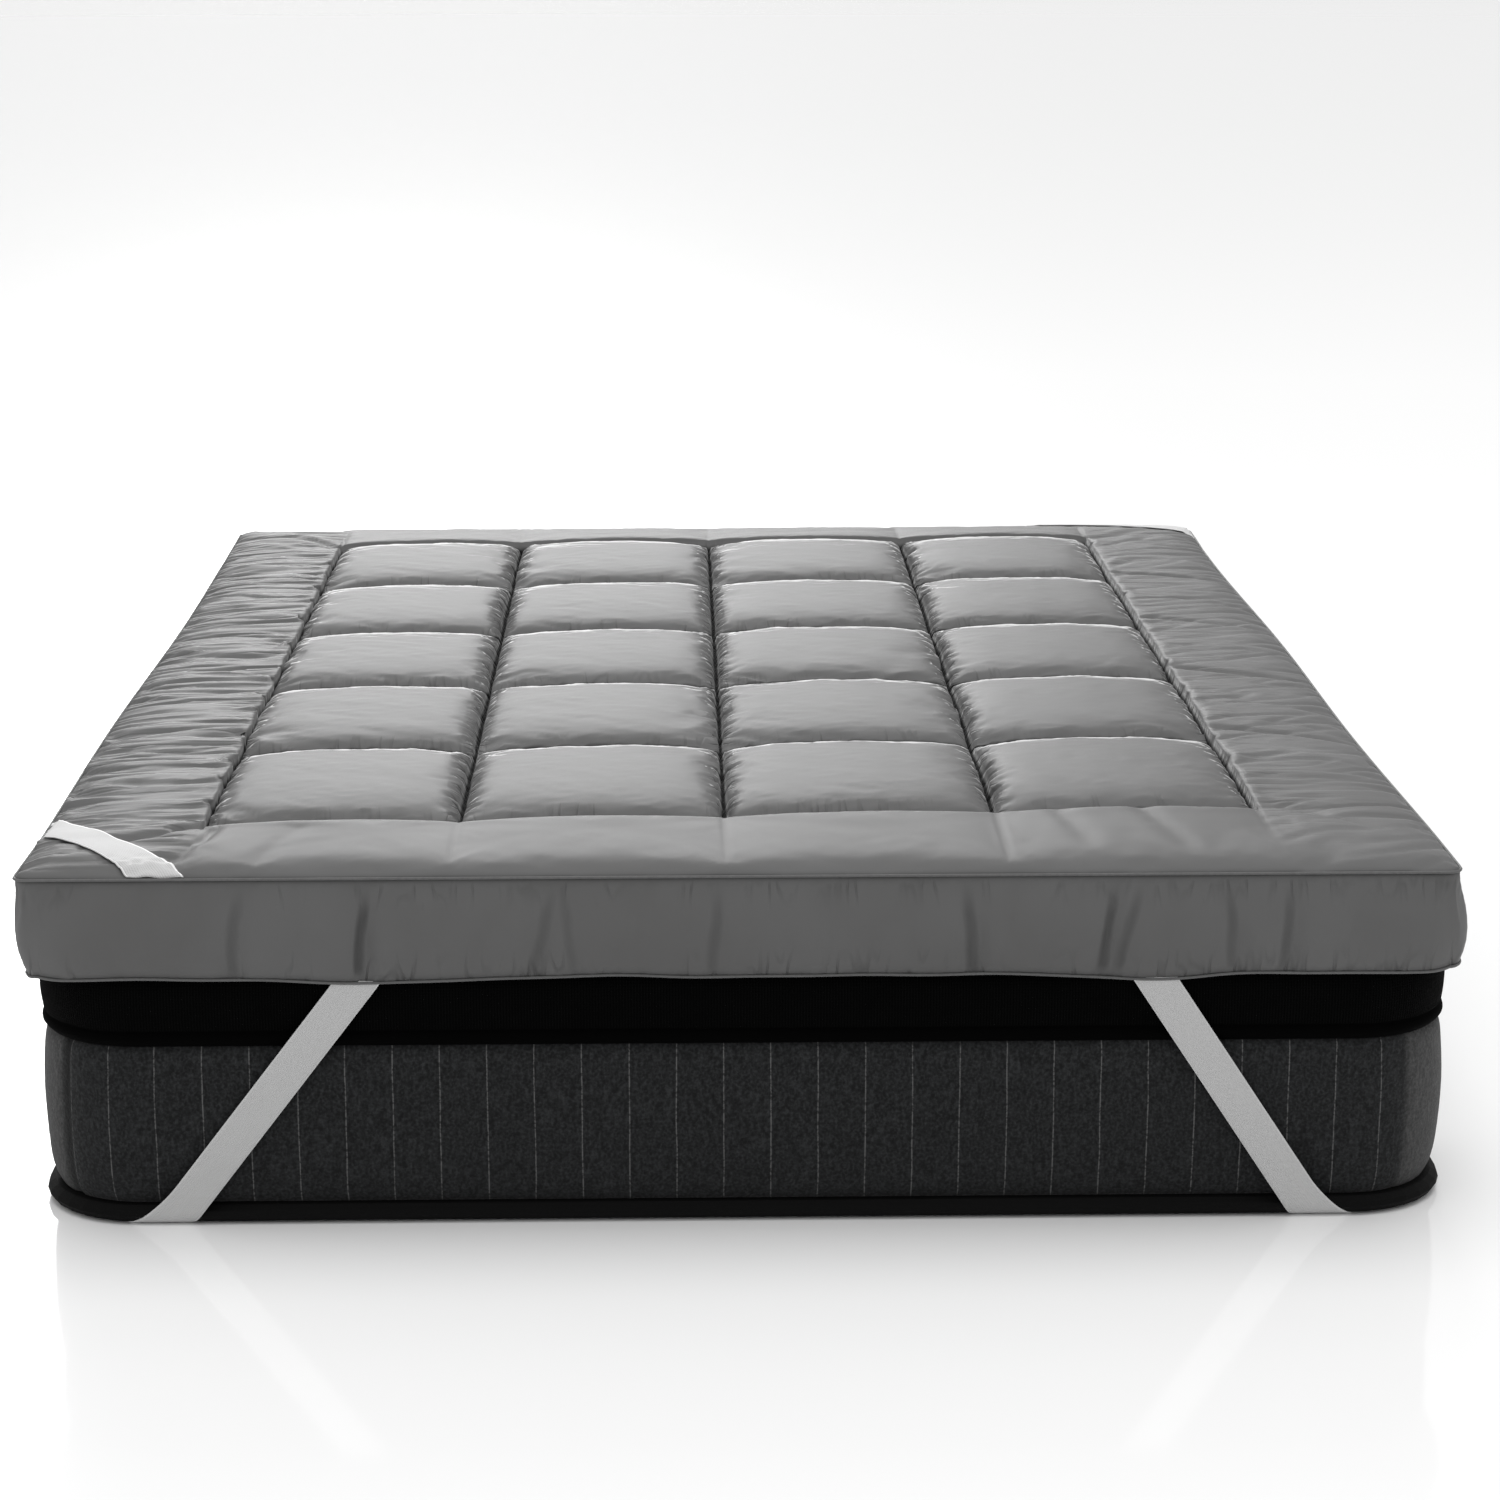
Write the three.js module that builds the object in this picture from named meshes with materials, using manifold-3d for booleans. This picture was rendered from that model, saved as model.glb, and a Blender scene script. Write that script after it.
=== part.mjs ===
// Quilted floor mattress, strapped by its four elastic corners to a plain bed mattress.
// Millimetres, +Z up, head end towards +Y. The origin is on the floor under the middle.
import * as THREE from 'three';
import Module from 'manifold-3d';

// Bed mattress, from the floor up; it lies a little to the right of the pad's middle
const MATTRESS = { width: 1508, length: 1986, cornerRadius: 115, arcSteps: 8, centreX: 7 };
const BASE = { width: 1512, length: 1996, top: 19.7 };

// Upright profiles of the mattress's layers, from the top down
const TOP_BAND_PROFILE = [
  { inset: 22, z: 274.7 }, { inset: 11, z: 271.5 }, { inset: 3.5, z: 264 }, { inset: 0, z: 253 },
  { inset: 0, z: 212 }, { inset: 6, z: 195.0 },
];
const BORDER_PROFILE = [
  { inset: 8, z: 194.7 }, { inset: 2.5, z: 178 }, { inset: 0, z: 120 }, { inset: 2.5, z: 55 },
  { inset: 12, z: 20.0 },
];
const BASE_PROFILE = [
  { inset: 9, z: BASE.top }, { inset: 1.5, z: 15 }, { inset: 0, z: 10 }, { inset: 4, z: 3.5 },
  { inset: 12, z: 0 },
];

// Quilted pad: a boxed cushion, sewn in boxes inside a plain border
const PAD = { width: 1500, length: 2000, restZ: 275.0, bottomSeamZ: 277, topSeamZ: 380, leanX: 7 };
const COLUMN_SEAMS = [-575, -301, -14, 281, 567];
const FRONT_SEAM = -815;
const ROW_PITCH = 330;
const ROWS = 5;
const ROW_SKEW = 0.045;
const CROWN = { box: 23, border: 19, sharpness: 2.6, borderLean: 0.6 };
const SEAM_LIFT = { across: 7, along: 4, roundness: 0.6 };
const GRID = { border: 5, column: 8, row: 11, edgeBias: 0.55 };
const WELT_RADIUS = 1.6;
const GAP = 0.3;

// Elastic: the straps under the corners and the bands over two corners
const STRAP = {
  width: 40, thickness: 1.6, wrapRadius: 12.5, arcSteps: 6, standOff: 0.5, topFront: 268.0, topSide: 274.9,
};
const GROOVE = { clearance: 0.5, depthOut: 8, reach: 30 };
const BAND = { thickness: 1.2, sideInset: 5, steps: 16, across: 4, probe: 6 };

// Where each strap leaves the foot or head seam, from the mattress's middle, and how far it runs
// sideways for each millimetre down
const STRAPS = [
  { name: 'strap_front_left', signX: -1, signY: -1, topX: 406, slope: 0.762 },
  { name: 'strap_front_right', signX: 1, signY: -1, topX: 425, slope: 0.659 },
  { name: 'strap_back_left', signX: -1, signY: 1, topX: 406, slope: 0.762 },
  { name: 'strap_back_right', signX: 1, signY: 1, topX: 425, slope: 0.659 },
];

// The bands' four corners in plan, two on the side edge and two on the end edge, and their height
// over the highest cloth beside each point
const BANDS = [
  { name: 'corner_band_front_left', lift: 0.7, sideNear: [-750, -753], sideFar: [-750, -830],
    endNear: [-574, -1000], endFar: [-633, -1000] },
  { name: 'corner_band_back_right', lift: 0.3, sideNear: [750, 908], sideFar: [750, 960],
    endNear: [470, 1000], endFar: [610, 1000] },
];

// Upright creases in the boxing of the foot end: place, depth and half width
const FRONT_CREASES = [
  { x: -523, depth: 4, spread: 22 }, { x: -392, depth: 9, spread: 20 },
  { x: -203, depth: 3, spread: 24 }, { x: -27, depth: 3, spread: 26 },
  { x: 238, depth: 5, spread: 24 }, { x: 384, depth: 8, spread: 20 },
  { x: 509, depth: 4, spread: 22 }, { x: 600, depth: 4, spread: 20 },
];

// Where a strap pulls the bottom seam down
const SEAM_DIPS = [
  { x: -399, depth: 7, spread: 75 }, { x: 432, depth: 6, spread: 80 },
];

// Folds pressed into the plain border: two ends, depth and half width; they fade towards the far end
const FOLD_FADE = 0.6;
const BORDER_FOLDS = [
  { from: [-585, -818], to: [-700, -935], depth: 5, spread: 16 },
  { from: [-560, -838], to: [-590, -965], depth: 5, spread: 15 },
  { from: [-470, -850], to: [-500, -960], depth: 3, spread: 16 },
  { from: [350, -830], to: [368, -930], depth: 4, spread: 15 },
  { from: [440, -825], to: [470, -940], depth: 5, spread: 15 },
  { from: [590, -800], to: [700, -900], depth: 5, spread: 16 },
  { from: [585, -440], to: [735, -500], depth: 6, spread: 16 },
  { from: [585, -110], to: [735, -170], depth: 6, spread: 16 },
  { from: [585, 215], to: [735, 150], depth: 5, spread: 16 },
  { from: [585, 540], to: [735, 500], depth: 5, spread: 16 },
  { from: [585, 830], to: [720, 960], depth: 5, spread: 16 },
  { from: [-585, 830], to: [-720, 960], depth: 5, spread: 16 },
];

// Gathers across the side borders: wave length and height of each set of folds, and how far from
// the quilting and from the ends of the pad they reach their full height
const GATHER_FADE = { fromSeam: 60, fromEnd: 150 };
const LEFT_GATHERS = [
  { wave: 92, height: 2.6, phase: 0.4 }, { wave: 67, height: 2.2, phase: 1.9 },
  { wave: 143, height: 1.8, phase: 3.1 },
];
const RIGHT_GATHERS = [{ wave: 171, height: 1.6, phase: 0.9 }, { wave: 108, height: 1.0, phase: 2.4 }];

// The side edges are drawn in: by a slope on the left, a shift on the right, and a soft wave on both
const DRAWN_IN = {
  leftAtHead: 6, rightShift: -2.5, wave: 2.5, leftLength: 190, rightLength: 170, rightPhase: 1, fromEnd: 200,
};

const HALF_WIDTH = PAD.width / 2;
const HALF_LENGTH = PAD.length / 2;
const FIELD_LEFT = COLUMN_SEAMS[0];
const FIELD_RIGHT = COLUMN_SEAMS[COLUMN_SEAMS.length - 1];
const BACK_SEAM = FRONT_SEAM + ROWS * ROW_PITCH;

const clamp = (value, low, high) => Math.min(high, Math.max(low, value));
const mix = (a, b, t) => a + (b - a) * t;
const bell = (distance, spread) => Math.exp(-((distance / spread) ** 2));

// A puffed profile over 0 to 1: nothing at the two seams, full in the middle, steep at the seams;
// the plain border is fullest nearer to the quilting and slopes down to its edge
const puff = (t) => Math.sqrt(Math.max(0, 1 - Math.abs(2 * t - 1) ** CROWN.sharpness));
const seamLift = (t) => Math.sin(Math.PI * t) ** SEAM_LIFT.roundness;

// Steps from 0 to 1 that crowd towards both seams
function seamSteps(count, bias) {
  const steps = [];
  for (let k = 0; k <= count; k += 1) {
    const even = k / count;
    steps.push(mix(even, 0.5 - 0.5 * Math.cos(Math.PI * even), bias));
  }
  return steps;
}

// Grid lines through a row of seams, with the seams themselves on the grid
function gridLines(seams, counts) {
  const lines = [seams[0]];
  for (let span = 0; span + 1 < seams.length; span += 1) {
    const steps = seamSteps(counts[span], GRID.edgeBias);
    steps.slice(1).forEach((t) => lines.push(mix(seams[span], seams[span + 1], t)));
  }
  return lines;
}

const ROW_SEAMS = Array.from({ length: ROWS + 1 }, (_, row) => FRONT_SEAM + row * ROW_PITCH);
const GRID_X = gridLines(
  [-HALF_WIDTH, ...COLUMN_SEAMS, HALF_WIDTH],
  [GRID.border, ...Array(COLUMN_SEAMS.length - 1).fill(GRID.column), GRID.border]);
const GRID_Y = gridLines(
  [-HALF_LENGTH, ...ROW_SEAMS, HALF_LENGTH],
  [GRID.border, ...Array(ROWS).fill(GRID.row), GRID.border]);

// Where a place lies in its quilted box, 0 to 1; outside the boxes it is held at the outer seam
function boxPlace(value, seams) {
  const last = seams.length - 1;
  if (value <= seams[0]) return 0;
  if (value >= seams[last]) return 1;
  let cell = 0;
  while (value > seams[cell + 1]) cell += 1;
  return (value - seams[cell]) / (seams[cell + 1] - seams[cell]);
}

// How far out in the plain border a place lies: 0 at the quilting, 1 at the edge
function borderPlace(x, y) {
  const overX = Math.max(FIELD_LEFT - x, x - FIELD_RIGHT, 0);
  const overY = Math.max(FRONT_SEAM - y, y - BACK_SEAM, 0);
  const inner = Math.hypot(overX, overY);
  const outer = Math.min(HALF_WIDTH - Math.abs(x), HALF_LENGTH - Math.abs(y));
  return inner / (inner + outer);
}

function foldDepth(x, y, fold) {
  const [fromX, fromY] = fold.from;
  const alongX = fold.to[0] - fromX;
  const alongY = fold.to[1] - fromY;
  const t = clamp(((x - fromX) * alongX + (y - fromY) * alongY) / (alongX ** 2 + alongY ** 2), 0, 1);
  const distance = Math.hypot(x - fromX - alongX * t, y - fromY - alongY * t);
  return fold.depth * bell(distance, fold.spread) * (1 - FOLD_FADE * t);
}

const gatherHeight = (y, gathers) => gathers.reduce(
  (sum, set) => sum + set.height * Math.sin((2 * Math.PI * y) / set.wave + set.phase), 0);

// Height of the top cloth over the top seam
function topHeight(x, y) {
  const across = boxPlace(x, COLUMN_SEAMS);
  const along = boxPlace(y, ROW_SEAMS);
  const out = borderPlace(x, y);
  const lift = SEAM_LIFT.across * seamLift(across) + SEAM_LIFT.along * seamLift(along);
  if (out === 0) return lift + CROWN.box * puff(across) * puff(along);
  const sides = x < FIELD_LEFT ? LEFT_GATHERS : RIGHT_GATHERS;
  const fromSeam = clamp((Math.abs(x) - FIELD_RIGHT) / GATHER_FADE.fromSeam, 0, 1);
  const fromEnd = clamp((HALF_LENGTH - Math.abs(y)) / GATHER_FADE.fromEnd, 0, 1);
  const folds = BORDER_FOLDS.reduce((sum, fold) => sum + foldDepth(x, y, fold), 0);
  const soft = CROWN.border + fromSeam * fromEnd * gatherHeight(y, sides) - folds;
  return lift * (1 - out) ** 2 + Math.max(0, soft) * puff(out ** CROWN.borderLean);
}

// The pad's real place of a grid point: the rows run a little askew, the left edge draws in
function planPlace(x, y) {
  const inField = clamp((HALF_LENGTH - Math.abs(y)) / (HALF_LENGTH - BACK_SEAM), 0, 1);
  const skewed = y + ROW_SKEW * clamp(x, FIELD_LEFT, FIELD_RIGHT) * inField;
  const edge = clamp((Math.abs(x) - FIELD_RIGHT) / (HALF_WIDTH - FIELD_RIGHT), 0, 1);
  const { leftAtHead, rightShift, wave, leftLength, rightLength, rightPhase, fromEnd } = DRAWN_IN;
  const drawn = x < 0
    ? leftAtHead * ((y + HALF_LENGTH) / PAD.length) + wave * Math.sin(y / leftLength)
    : rightShift + wave * Math.sin(y / rightLength + rightPhase);
  const gathered = drawn * clamp((HALF_LENGTH - Math.abs(y)) / fromEnd, 0, 1);
  return [x + gathered * edge, skewed];
}

// Height of the faceted top, found in the cell that holds the place
function facetHeight(x, y) {
  const cellOf = (value, lines) => {
    let cell = 0;
    while (cell + 2 < lines.length && value > lines[cell + 1]) cell += 1;
    return cell;
  };
  const i = cellOf(x, GRID_X);
  const j = cellOf(y, GRID_Y);
  const tx = clamp((x - GRID_X[i]) / (GRID_X[i + 1] - GRID_X[i]), 0, 1);
  const ty = clamp((y - GRID_Y[j]) / (GRID_Y[j + 1] - GRID_Y[j]), 0, 1);
  const z00 = topHeight(GRID_X[i], GRID_Y[j]);
  const z10 = topHeight(GRID_X[i + 1], GRID_Y[j]);
  const z01 = topHeight(GRID_X[i], GRID_Y[j + 1]);
  const z11 = topHeight(GRID_X[i + 1], GRID_Y[j + 1]);
  return Math.max(mix(mix(z00, z10, tx), mix(z01, z11, tx), ty),
    tx > ty ? z00 + (z10 - z00) * tx + (z11 - z10) * ty : z00 + (z11 - z01) * tx + (z01 - z00) * ty);
}

function geometryOf(points, triangles) {
  const geometry = new THREE.BufferGeometry();
  geometry.setAttribute('position', new THREE.Float32BufferAttribute(points.flat(), 3));
  geometry.setIndex(triangles.flat());
  geometry.computeVertexNormals();
  return geometry;
}

// Joins rings of equal length, from the top one down, with their points anticlockwise from above
function loftRings(rings, triangles) {
  for (let ring = 0; ring + 1 < rings.length; ring += 1) {
    const upper = rings[ring];
    const lower = rings[ring + 1];
    upper.forEach((a, k) => {
      const next = (k + 1) % upper.length;
      triangles.push([a, lower[k], lower[next]], [a, lower[next], upper[next]]);
    });
  }
}

// Closes a ring with a fan about its middle, facing up or down
function closeRing(ring, middle, up, triangles) {
  ring.forEach((a, k) => {
    const b = ring[(k + 1) % ring.length];
    triangles.push(up ? [middle, a, b] : [middle, b, a]);
  });
}

// The pad's rim: grid points anticlockwise from the front left corner, with the way out at each
function rimPlaces() {
  const rim = [];
  const lastX = GRID_X.length - 1;
  const lastY = GRID_Y.length - 1;
  for (let i = 0; i < lastX; i += 1) rim.push({ i, j: 0, out: i === 0 ? [-1, -1] : [0, -1] });
  for (let j = 0; j < lastY; j += 1) rim.push({ i: lastX, j, out: j === 0 ? [1, -1] : [1, 0] });
  for (let i = lastX; i > 0; i -= 1) rim.push({ i, j: lastY, out: i === lastX ? [1, 1] : [0, 1] });
  for (let j = lastY; j > 0; j -= 1) rim.push({ i: 0, j, out: j === lastY ? [-1, 1] : [-1, 0] });
  return rim;
}

// A rim point pulled onto a rounded corner
function roundedPlace(x, y, radius) {
  const overX = Math.abs(x) - (HALF_WIDTH - radius);
  const overY = Math.abs(y) - (HALF_LENGTH - radius);
  if (overX <= 0 || overY <= 0) return [x, y];
  const far = Math.hypot(overX, overY);
  return [
    Math.sign(x) * (HALF_WIDTH - radius + (overX * radius) / far),
    Math.sign(y) * (HALF_LENGTH - radius + (overY * radius) / far),
  ];
}

const creaseDepth = (x, y) => Math.abs(y) < HALF_LENGTH - 1 ? 0 : FRONT_CREASES.reduce(
  (sum, crease) => sum + crease.depth * bell((y < 0 ? x : -x) - crease.x, crease.spread), 0);
const seamDip = (x, y) => Math.abs(y) < HALF_LENGTH - 1 ? 0 : SEAM_DIPS.reduce(
  (sum, dip) => sum + dip.depth * bell(x - dip.x, dip.spread), 0);
const bottomSeamHeight = (x, y) => PAD.bottomSeamZ - seamDip(x, y);

// The boxing from its top seam down: how far it stands out at the ends and the sides, and its corners
const BOXING = [
  { down: 0, end: 0, side: 0, radius: 14 }, { down: 0.14, end: 2, side: 3, radius: 30 },
  { down: 0.5, end: 7, side: 8, radius: 36 }, { down: 0.84, end: 6, side: 8, radius: 40 },
  { down: 1, end: -2, side: 3, radius: 42 },
];
const TOP_SEAM = BOXING[0];
const BOTTOM_SEAM = BOXING[BOXING.length - 1];
const RESTING_EDGE = { down: 1, end: -24, side: -24, radius: 44 };

// A point of the boxing at one level, moved out by a little more where a piping follows it
function rimPoint(place, { down, end, side, radius }, further = 0) {
  const x = GRID_X[place.i];
  const y = GRID_Y[place.j];
  const [roundX, roundY] = roundedPlace(x, y, radius);
  const [planX, planY] = planPlace(roundX, roundY);
  const away = place.out[0] !== 0 && place.out[1] !== 0 ? Math.SQRT1_2 : 1;
  const crease = creaseDepth(x, y) * Math.sin(Math.PI * down) ** 2;
  return [
    planX + place.out[0] * (side + further) * away + PAD.leanX * down,
    planY + place.out[1] * (end + further - crease) * away,
    mix(PAD.topSeamZ, bottomSeamHeight(x, y), down),
  ];
}

function padGeometry() {
  const points = [];
  const triangles = [];
  const columns = GRID_X.length;
  const rim = rimPlaces();
  const topIndex = (i, j) => j * columns + i;
  GRID_Y.forEach((y) => GRID_X.forEach((x) => {
    const [planX, planY] = planPlace(x, y);
    points.push([planX, planY, PAD.topSeamZ + topHeight(x, y)]);
  }));
  rim.forEach((place) => {
    points[topIndex(place.i, place.j)] = rimPoint(place, TOP_SEAM);
  });
  for (let j = 0; j + 1 < GRID_Y.length; j += 1) {
    for (let i = 0; i + 1 < columns; i += 1) {
      const [a, b, c, d] = [topIndex(i, j), topIndex(i + 1, j), topIndex(i + 1, j + 1), topIndex(i, j + 1)];
      triangles.push([a, b, c], [a, c, d]);
    }
  }
  const rings = [rim.map((place) => topIndex(place.i, place.j))];
  BOXING.slice(1).forEach((level) => {
    rings.push(rim.map((place) => points.push(rimPoint(place, level)) - 1));
  });
  rings.push(rim.map((place) => {
    const [x, y] = rimPoint(place, RESTING_EDGE);
    return points.push([x, y, PAD.restZ]) - 1;
  }));
  loftRings(rings, triangles);
  const middle = points.push([0, 0, PAD.restZ]) - 1;
  closeRing(rings[rings.length - 1], middle, false, triangles);
  return geometryOf(points, triangles);
}

// A thin piping along a seam: a four-sided cord just outside the rim
function weltGeometry(seam) {
  const nearEnd = ({ j }) => Math.min(j, GRID_Y.length - 1 - j) <= GRID.border;
  const rim = rimPlaces().filter((place, k) => k % 2 === 0 || nearEnd(place));
  const points = [];
  const section = [[-1, 0], [0, -1], [1, 0], [0, 1]];
  const rings = section.map(([side, rise]) => rim.map((place) => {
    const [x, y, z] = rimPoint(place, seam, GAP + WELT_RADIUS * (1 + side));
    return points.push([x, y, z + WELT_RADIUS * rise]) - 1;
  }));
  const triangles = [];
  loftRings([...rings, rings[0]], triangles);
  return geometryOf(points, triangles.map(([a, b, c]) => [a, c, b]));
}

// Anticlockwise outline of a rounded rectangle
function roundedOutline(width, length, radius) {
  const outline = [];
  const corners = [[1, 1, 0], [-1, 1, 1], [-1, -1, 2], [1, -1, 3]];
  corners.forEach(([signX, signY, quarter]) => {
    for (let step = 0; step <= MATTRESS.arcSteps; step += 1) {
      const angle = (Math.PI / 2) * (quarter + step / MATTRESS.arcSteps);
      outline.push([
        signX * (width / 2 - radius) + radius * Math.cos(angle),
        signY * (length / 2 - radius) + radius * Math.sin(angle),
      ]);
    }
  });
  return outline;
}

// A mattress layer: outlines at the given insets and heights, from the top down
function layerGeometry(width, length, sections) {
  const points = [];
  const triangles = [];
  const rings = sections.map(({ inset, z }) => {
    const outline = roundedOutline(width - 2 * inset, length - 2 * inset, MATTRESS.cornerRadius - inset);
    return outline.map(([x, y]) => points.push([x + MATTRESS.centreX, y, z]) - 1);
  });
  loftRings(rings, triangles);
  const topMiddle = points.push([MATTRESS.centreX, 0, sections[0].z]) - 1;
  const bottomMiddle = points.push([MATTRESS.centreX, 0, sections[sections.length - 1].z]) - 1;
  closeRing(rings[0], topMiddle, true, triangles);
  closeRing(rings[rings.length - 1], bottomMiddle, false, triangles);
  return geometryOf(points, triangles);
}

// A strap: down the end of the mattress, round its bottom edge, under the corner and up the side.
// It stays straight when unfolded, so its two edges are straight lines over each fold.
function strapGeometry(strap, { width, inner, outer, startBelow, endBelow }) {
  const { signX, signY, topX, slope } = strap;
  const { wrapRadius, arcSteps } = STRAP;
  const faceY = BASE.length / 2 + STRAP.standOff;
  const faceX = BASE.width / 2 + STRAP.standOff;
  const wrapZ = STRAP.thickness + GAP + wrapRadius;
  const arc = (Math.PI / 2) * (wrapRadius + STRAP.thickness / 2);
  const frontDrop = STRAP.topFront - wrapZ;
  const halfLevel = (width / 2) * Math.hypot(1, slope);
  const stations = [];

  // Across the fold at the end: each station is level, at one distance down the unfolded face
  const levelAt = (down, surface) => [-1, 1].map((edge) => {
    const x = topX + slope * down + edge * halfLevel;
    if (down <= frontDrop) return [x, -(faceY + surface), STRAP.topFront - down];
    const angle = ((down - frontDrop) / arc) * (Math.PI / 2);
    const reach = wrapRadius + surface;
    return [x, -(faceY - wrapRadius + reach * Math.cos(angle)), wrapZ - reach * Math.sin(angle)];
  });
  // Across the fold at the side: each station runs along the side, at one distance past the fold
  const foldX = faceX - wrapRadius;
  const sideAt = (past, surface) => [-1, 1].map((edge) => {
    const downAtFold = (foldX - topX - edge * halfLevel) / slope;
    const y = -(faceY - wrapRadius) + (downAtFold - frontDrop - arc) + past / slope;
    const reach = wrapRadius + surface;
    if (past > arc) return [foldX + reach, y, wrapZ + past - arc];
    const angle = (past / arc) * (Math.PI / 2);
    return [foldX + reach * Math.sin(angle), y, wrapZ - reach * Math.cos(angle)];
  });
  const sideRise = STRAP.topSide - wrapZ;
  const downs = [startBelow, frontDrop];
  const pasts = [0];
  for (let k = 1; k <= arcSteps; k += 1) {
    downs.push(frontDrop + (arc * k) / arcSteps);
    pasts.push((arc * k) / arcSteps);
  }
  pasts.push(arc + sideRise - endBelow);
  const sections = [
    ...downs.map((down) => [levelAt(down, inner), levelAt(down, outer)]),
    ...pasts.map((past) => [sideAt(past, inner), sideAt(past, outer)]),
  ];
  sections.forEach(([innerPair, outerPair]) => {
    stations.push([innerPair[0], innerPair[1], outerPair[1], outerPair[0]].map(
      ([x, y, z]) => [x * signX + MATTRESS.centreX, y * -signY, z]));
  });

  const points = stations.flat();
  const triangles = [];
  for (let s = 0; s + 1 < stations.length; s += 1) {
    for (let k = 0; k < 4; k += 1) {
      const a = 4 * s + k;
      const b = 4 * s + ((k + 1) % 4);
      triangles.push([a, a + 4, b + 4], [a, b + 4, b]);
    }
  }
  const end = points.length - 4;
  triangles.push([0, 1, 2], [0, 2, 3], [end, end + 2, end + 1], [end, end + 3, end + 2]);
  const flipped = signX * signY < 0;
  return geometryOf(points, flipped ? triangles.map(([a, b, c]) => [a, c, b]) : triangles);
}

const STRAP_FORM = { width: STRAP.width, inner: 0, outer: STRAP.thickness, startBelow: 0, endBelow: 0 };
const GROOVE_FORM = {
  width: STRAP.width + 2 * GROOVE.clearance,
  inner: -GROOVE.clearance,
  outer: GROOVE.depthOut,
  startBelow: STRAP.topFront - BASE.top - GROOVE.reach,
  endBelow: STRAP.topSide - BASE.top - GROOVE.reach,
};

// A band laid over a corner of the top: a thin slab that follows the cloth under it
function bandGeometry(band) {
  const points = [];
  const triangles = [];
  const clear = ([x, y]) => [
    Math.sign(x) * Math.min(Math.abs(x), HALF_WIDTH - BAND.sideInset),
    Math.sign(y) * Math.min(Math.abs(y), HALF_LENGTH - BAND.sideInset),
  ];
  const probes = [-BAND.probe, 0, BAND.probe];
  const clothUnder = (x, y) => Math.max(...probes.flatMap(
    (dx) => probes.map((dy) => facetHeight(x + dx, y + dy))));
  const layer = (rise) => {
    const rows = [];
    for (let s = 0; s <= BAND.steps; s += 1) {
      const row = [];
      for (let e = 0; e <= BAND.across; e += 1) {
        const along = s / BAND.steps;
        const across = e / BAND.across;
        const near = [0, 1].map((k) => mix(band.sideNear[k], band.endNear[k], along));
        const far = [0, 1].map((k) => mix(band.sideFar[k], band.endFar[k], along));
        const [x, y] = clear([mix(near[0], far[0], across), mix(near[1], far[1], across)]);
        const [planX, planY] = planPlace(x, y);
        row.push(points.push([planX, planY, PAD.topSeamZ + clothUnder(x, y) + rise]) - 1);
      }
      rows.push(row);
    }
    return rows;
  };
  const under = layer(band.lift);
  const over = layer(band.lift + BAND.thickness);
  const wall = (a, b, c, d) => triangles.push([a, b, c], [a, c, d]);
  for (let s = 0; s < BAND.steps; s += 1) {
    for (let e = 0; e < BAND.across; e += 1) {
      wall(over[s][e], over[s][e + 1], over[s + 1][e + 1], over[s + 1][e]);
      wall(under[s][e], under[s + 1][e], under[s + 1][e + 1], under[s][e + 1]);
    }
    wall(over[s][0], over[s + 1][0], under[s + 1][0], under[s][0]);
    wall(over[s + 1][BAND.across], over[s][BAND.across], under[s][BAND.across], under[s + 1][BAND.across]);
  }
  for (let e = 0; e < BAND.across; e += 1) {
    wall(over[0][e + 1], over[0][e], under[0][e], under[0][e + 1]);
    wall(over[BAND.steps][e], over[BAND.steps][e + 1], under[BAND.steps][e + 1], under[BAND.steps][e]);
  }
  const outward = band.sideNear[0] * (band.sideFar[1] - band.sideNear[1]) > 0;
  return geometryOf(points, outward ? triangles : triangles.map(([a, b, c]) => [a, c, b]));
}

const wasm = await Module();
wasm.setup();

function solidOf(geometry) {
  return new wasm.Manifold(new wasm.Mesh({
    numProp: 3,
    vertProperties: new Float32Array(geometry.attributes.position.array),
    triVerts: new Uint32Array(geometry.index.array),
  }));
}

// The base with the shallow grooves that the straps press into its underside
function baseGeometry() {
  let solid = solidOf(layerGeometry(BASE.width, BASE.length, BASE_PROFILE));
  STRAPS.forEach((strap) => {
    solid = solid.subtract(solidOf(strapGeometry(strap, GROOVE_FORM)));
  });
  const mesh = solid.getMesh();
  const geometry = new THREE.BufferGeometry();
  geometry.setAttribute('position', new THREE.Float32BufferAttribute(mesh.vertProperties, 3));
  geometry.setIndex(Array.from(mesh.triVerts));
  geometry.computeVertexNormals();
  return geometry;
}

const MATERIALS = {
  padCloth: new THREE.MeshStandardMaterial({ color: 0x7c7c7e, roughness: 0.85, metalness: 0 }),
  weltCloth: new THREE.MeshStandardMaterial({ color: 0x858587, roughness: 0.8, metalness: 0 }),
  greyElastic: new THREE.MeshStandardMaterial({ color: 0xa9a9aa, roughness: 0.75, metalness: 0 }),
  whiteElastic: new THREE.MeshStandardMaterial({ color: 0xebebeb, roughness: 0.7, metalness: 0 }),
  charcoalKnit: new THREE.MeshStandardMaterial({ color: 0x2b2b2f, roughness: 0.95, metalness: 0 }),
  blackMesh: new THREE.MeshStandardMaterial({ color: 0x0b0b0c, roughness: 0.9, metalness: 0 }),
};

const floorMattress = new THREE.Group();
function addPiece(name, geometry, material) {
  const mesh = new THREE.Mesh(geometry, material);
  mesh.name = name;
  floorMattress.add(mesh);
}

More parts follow.
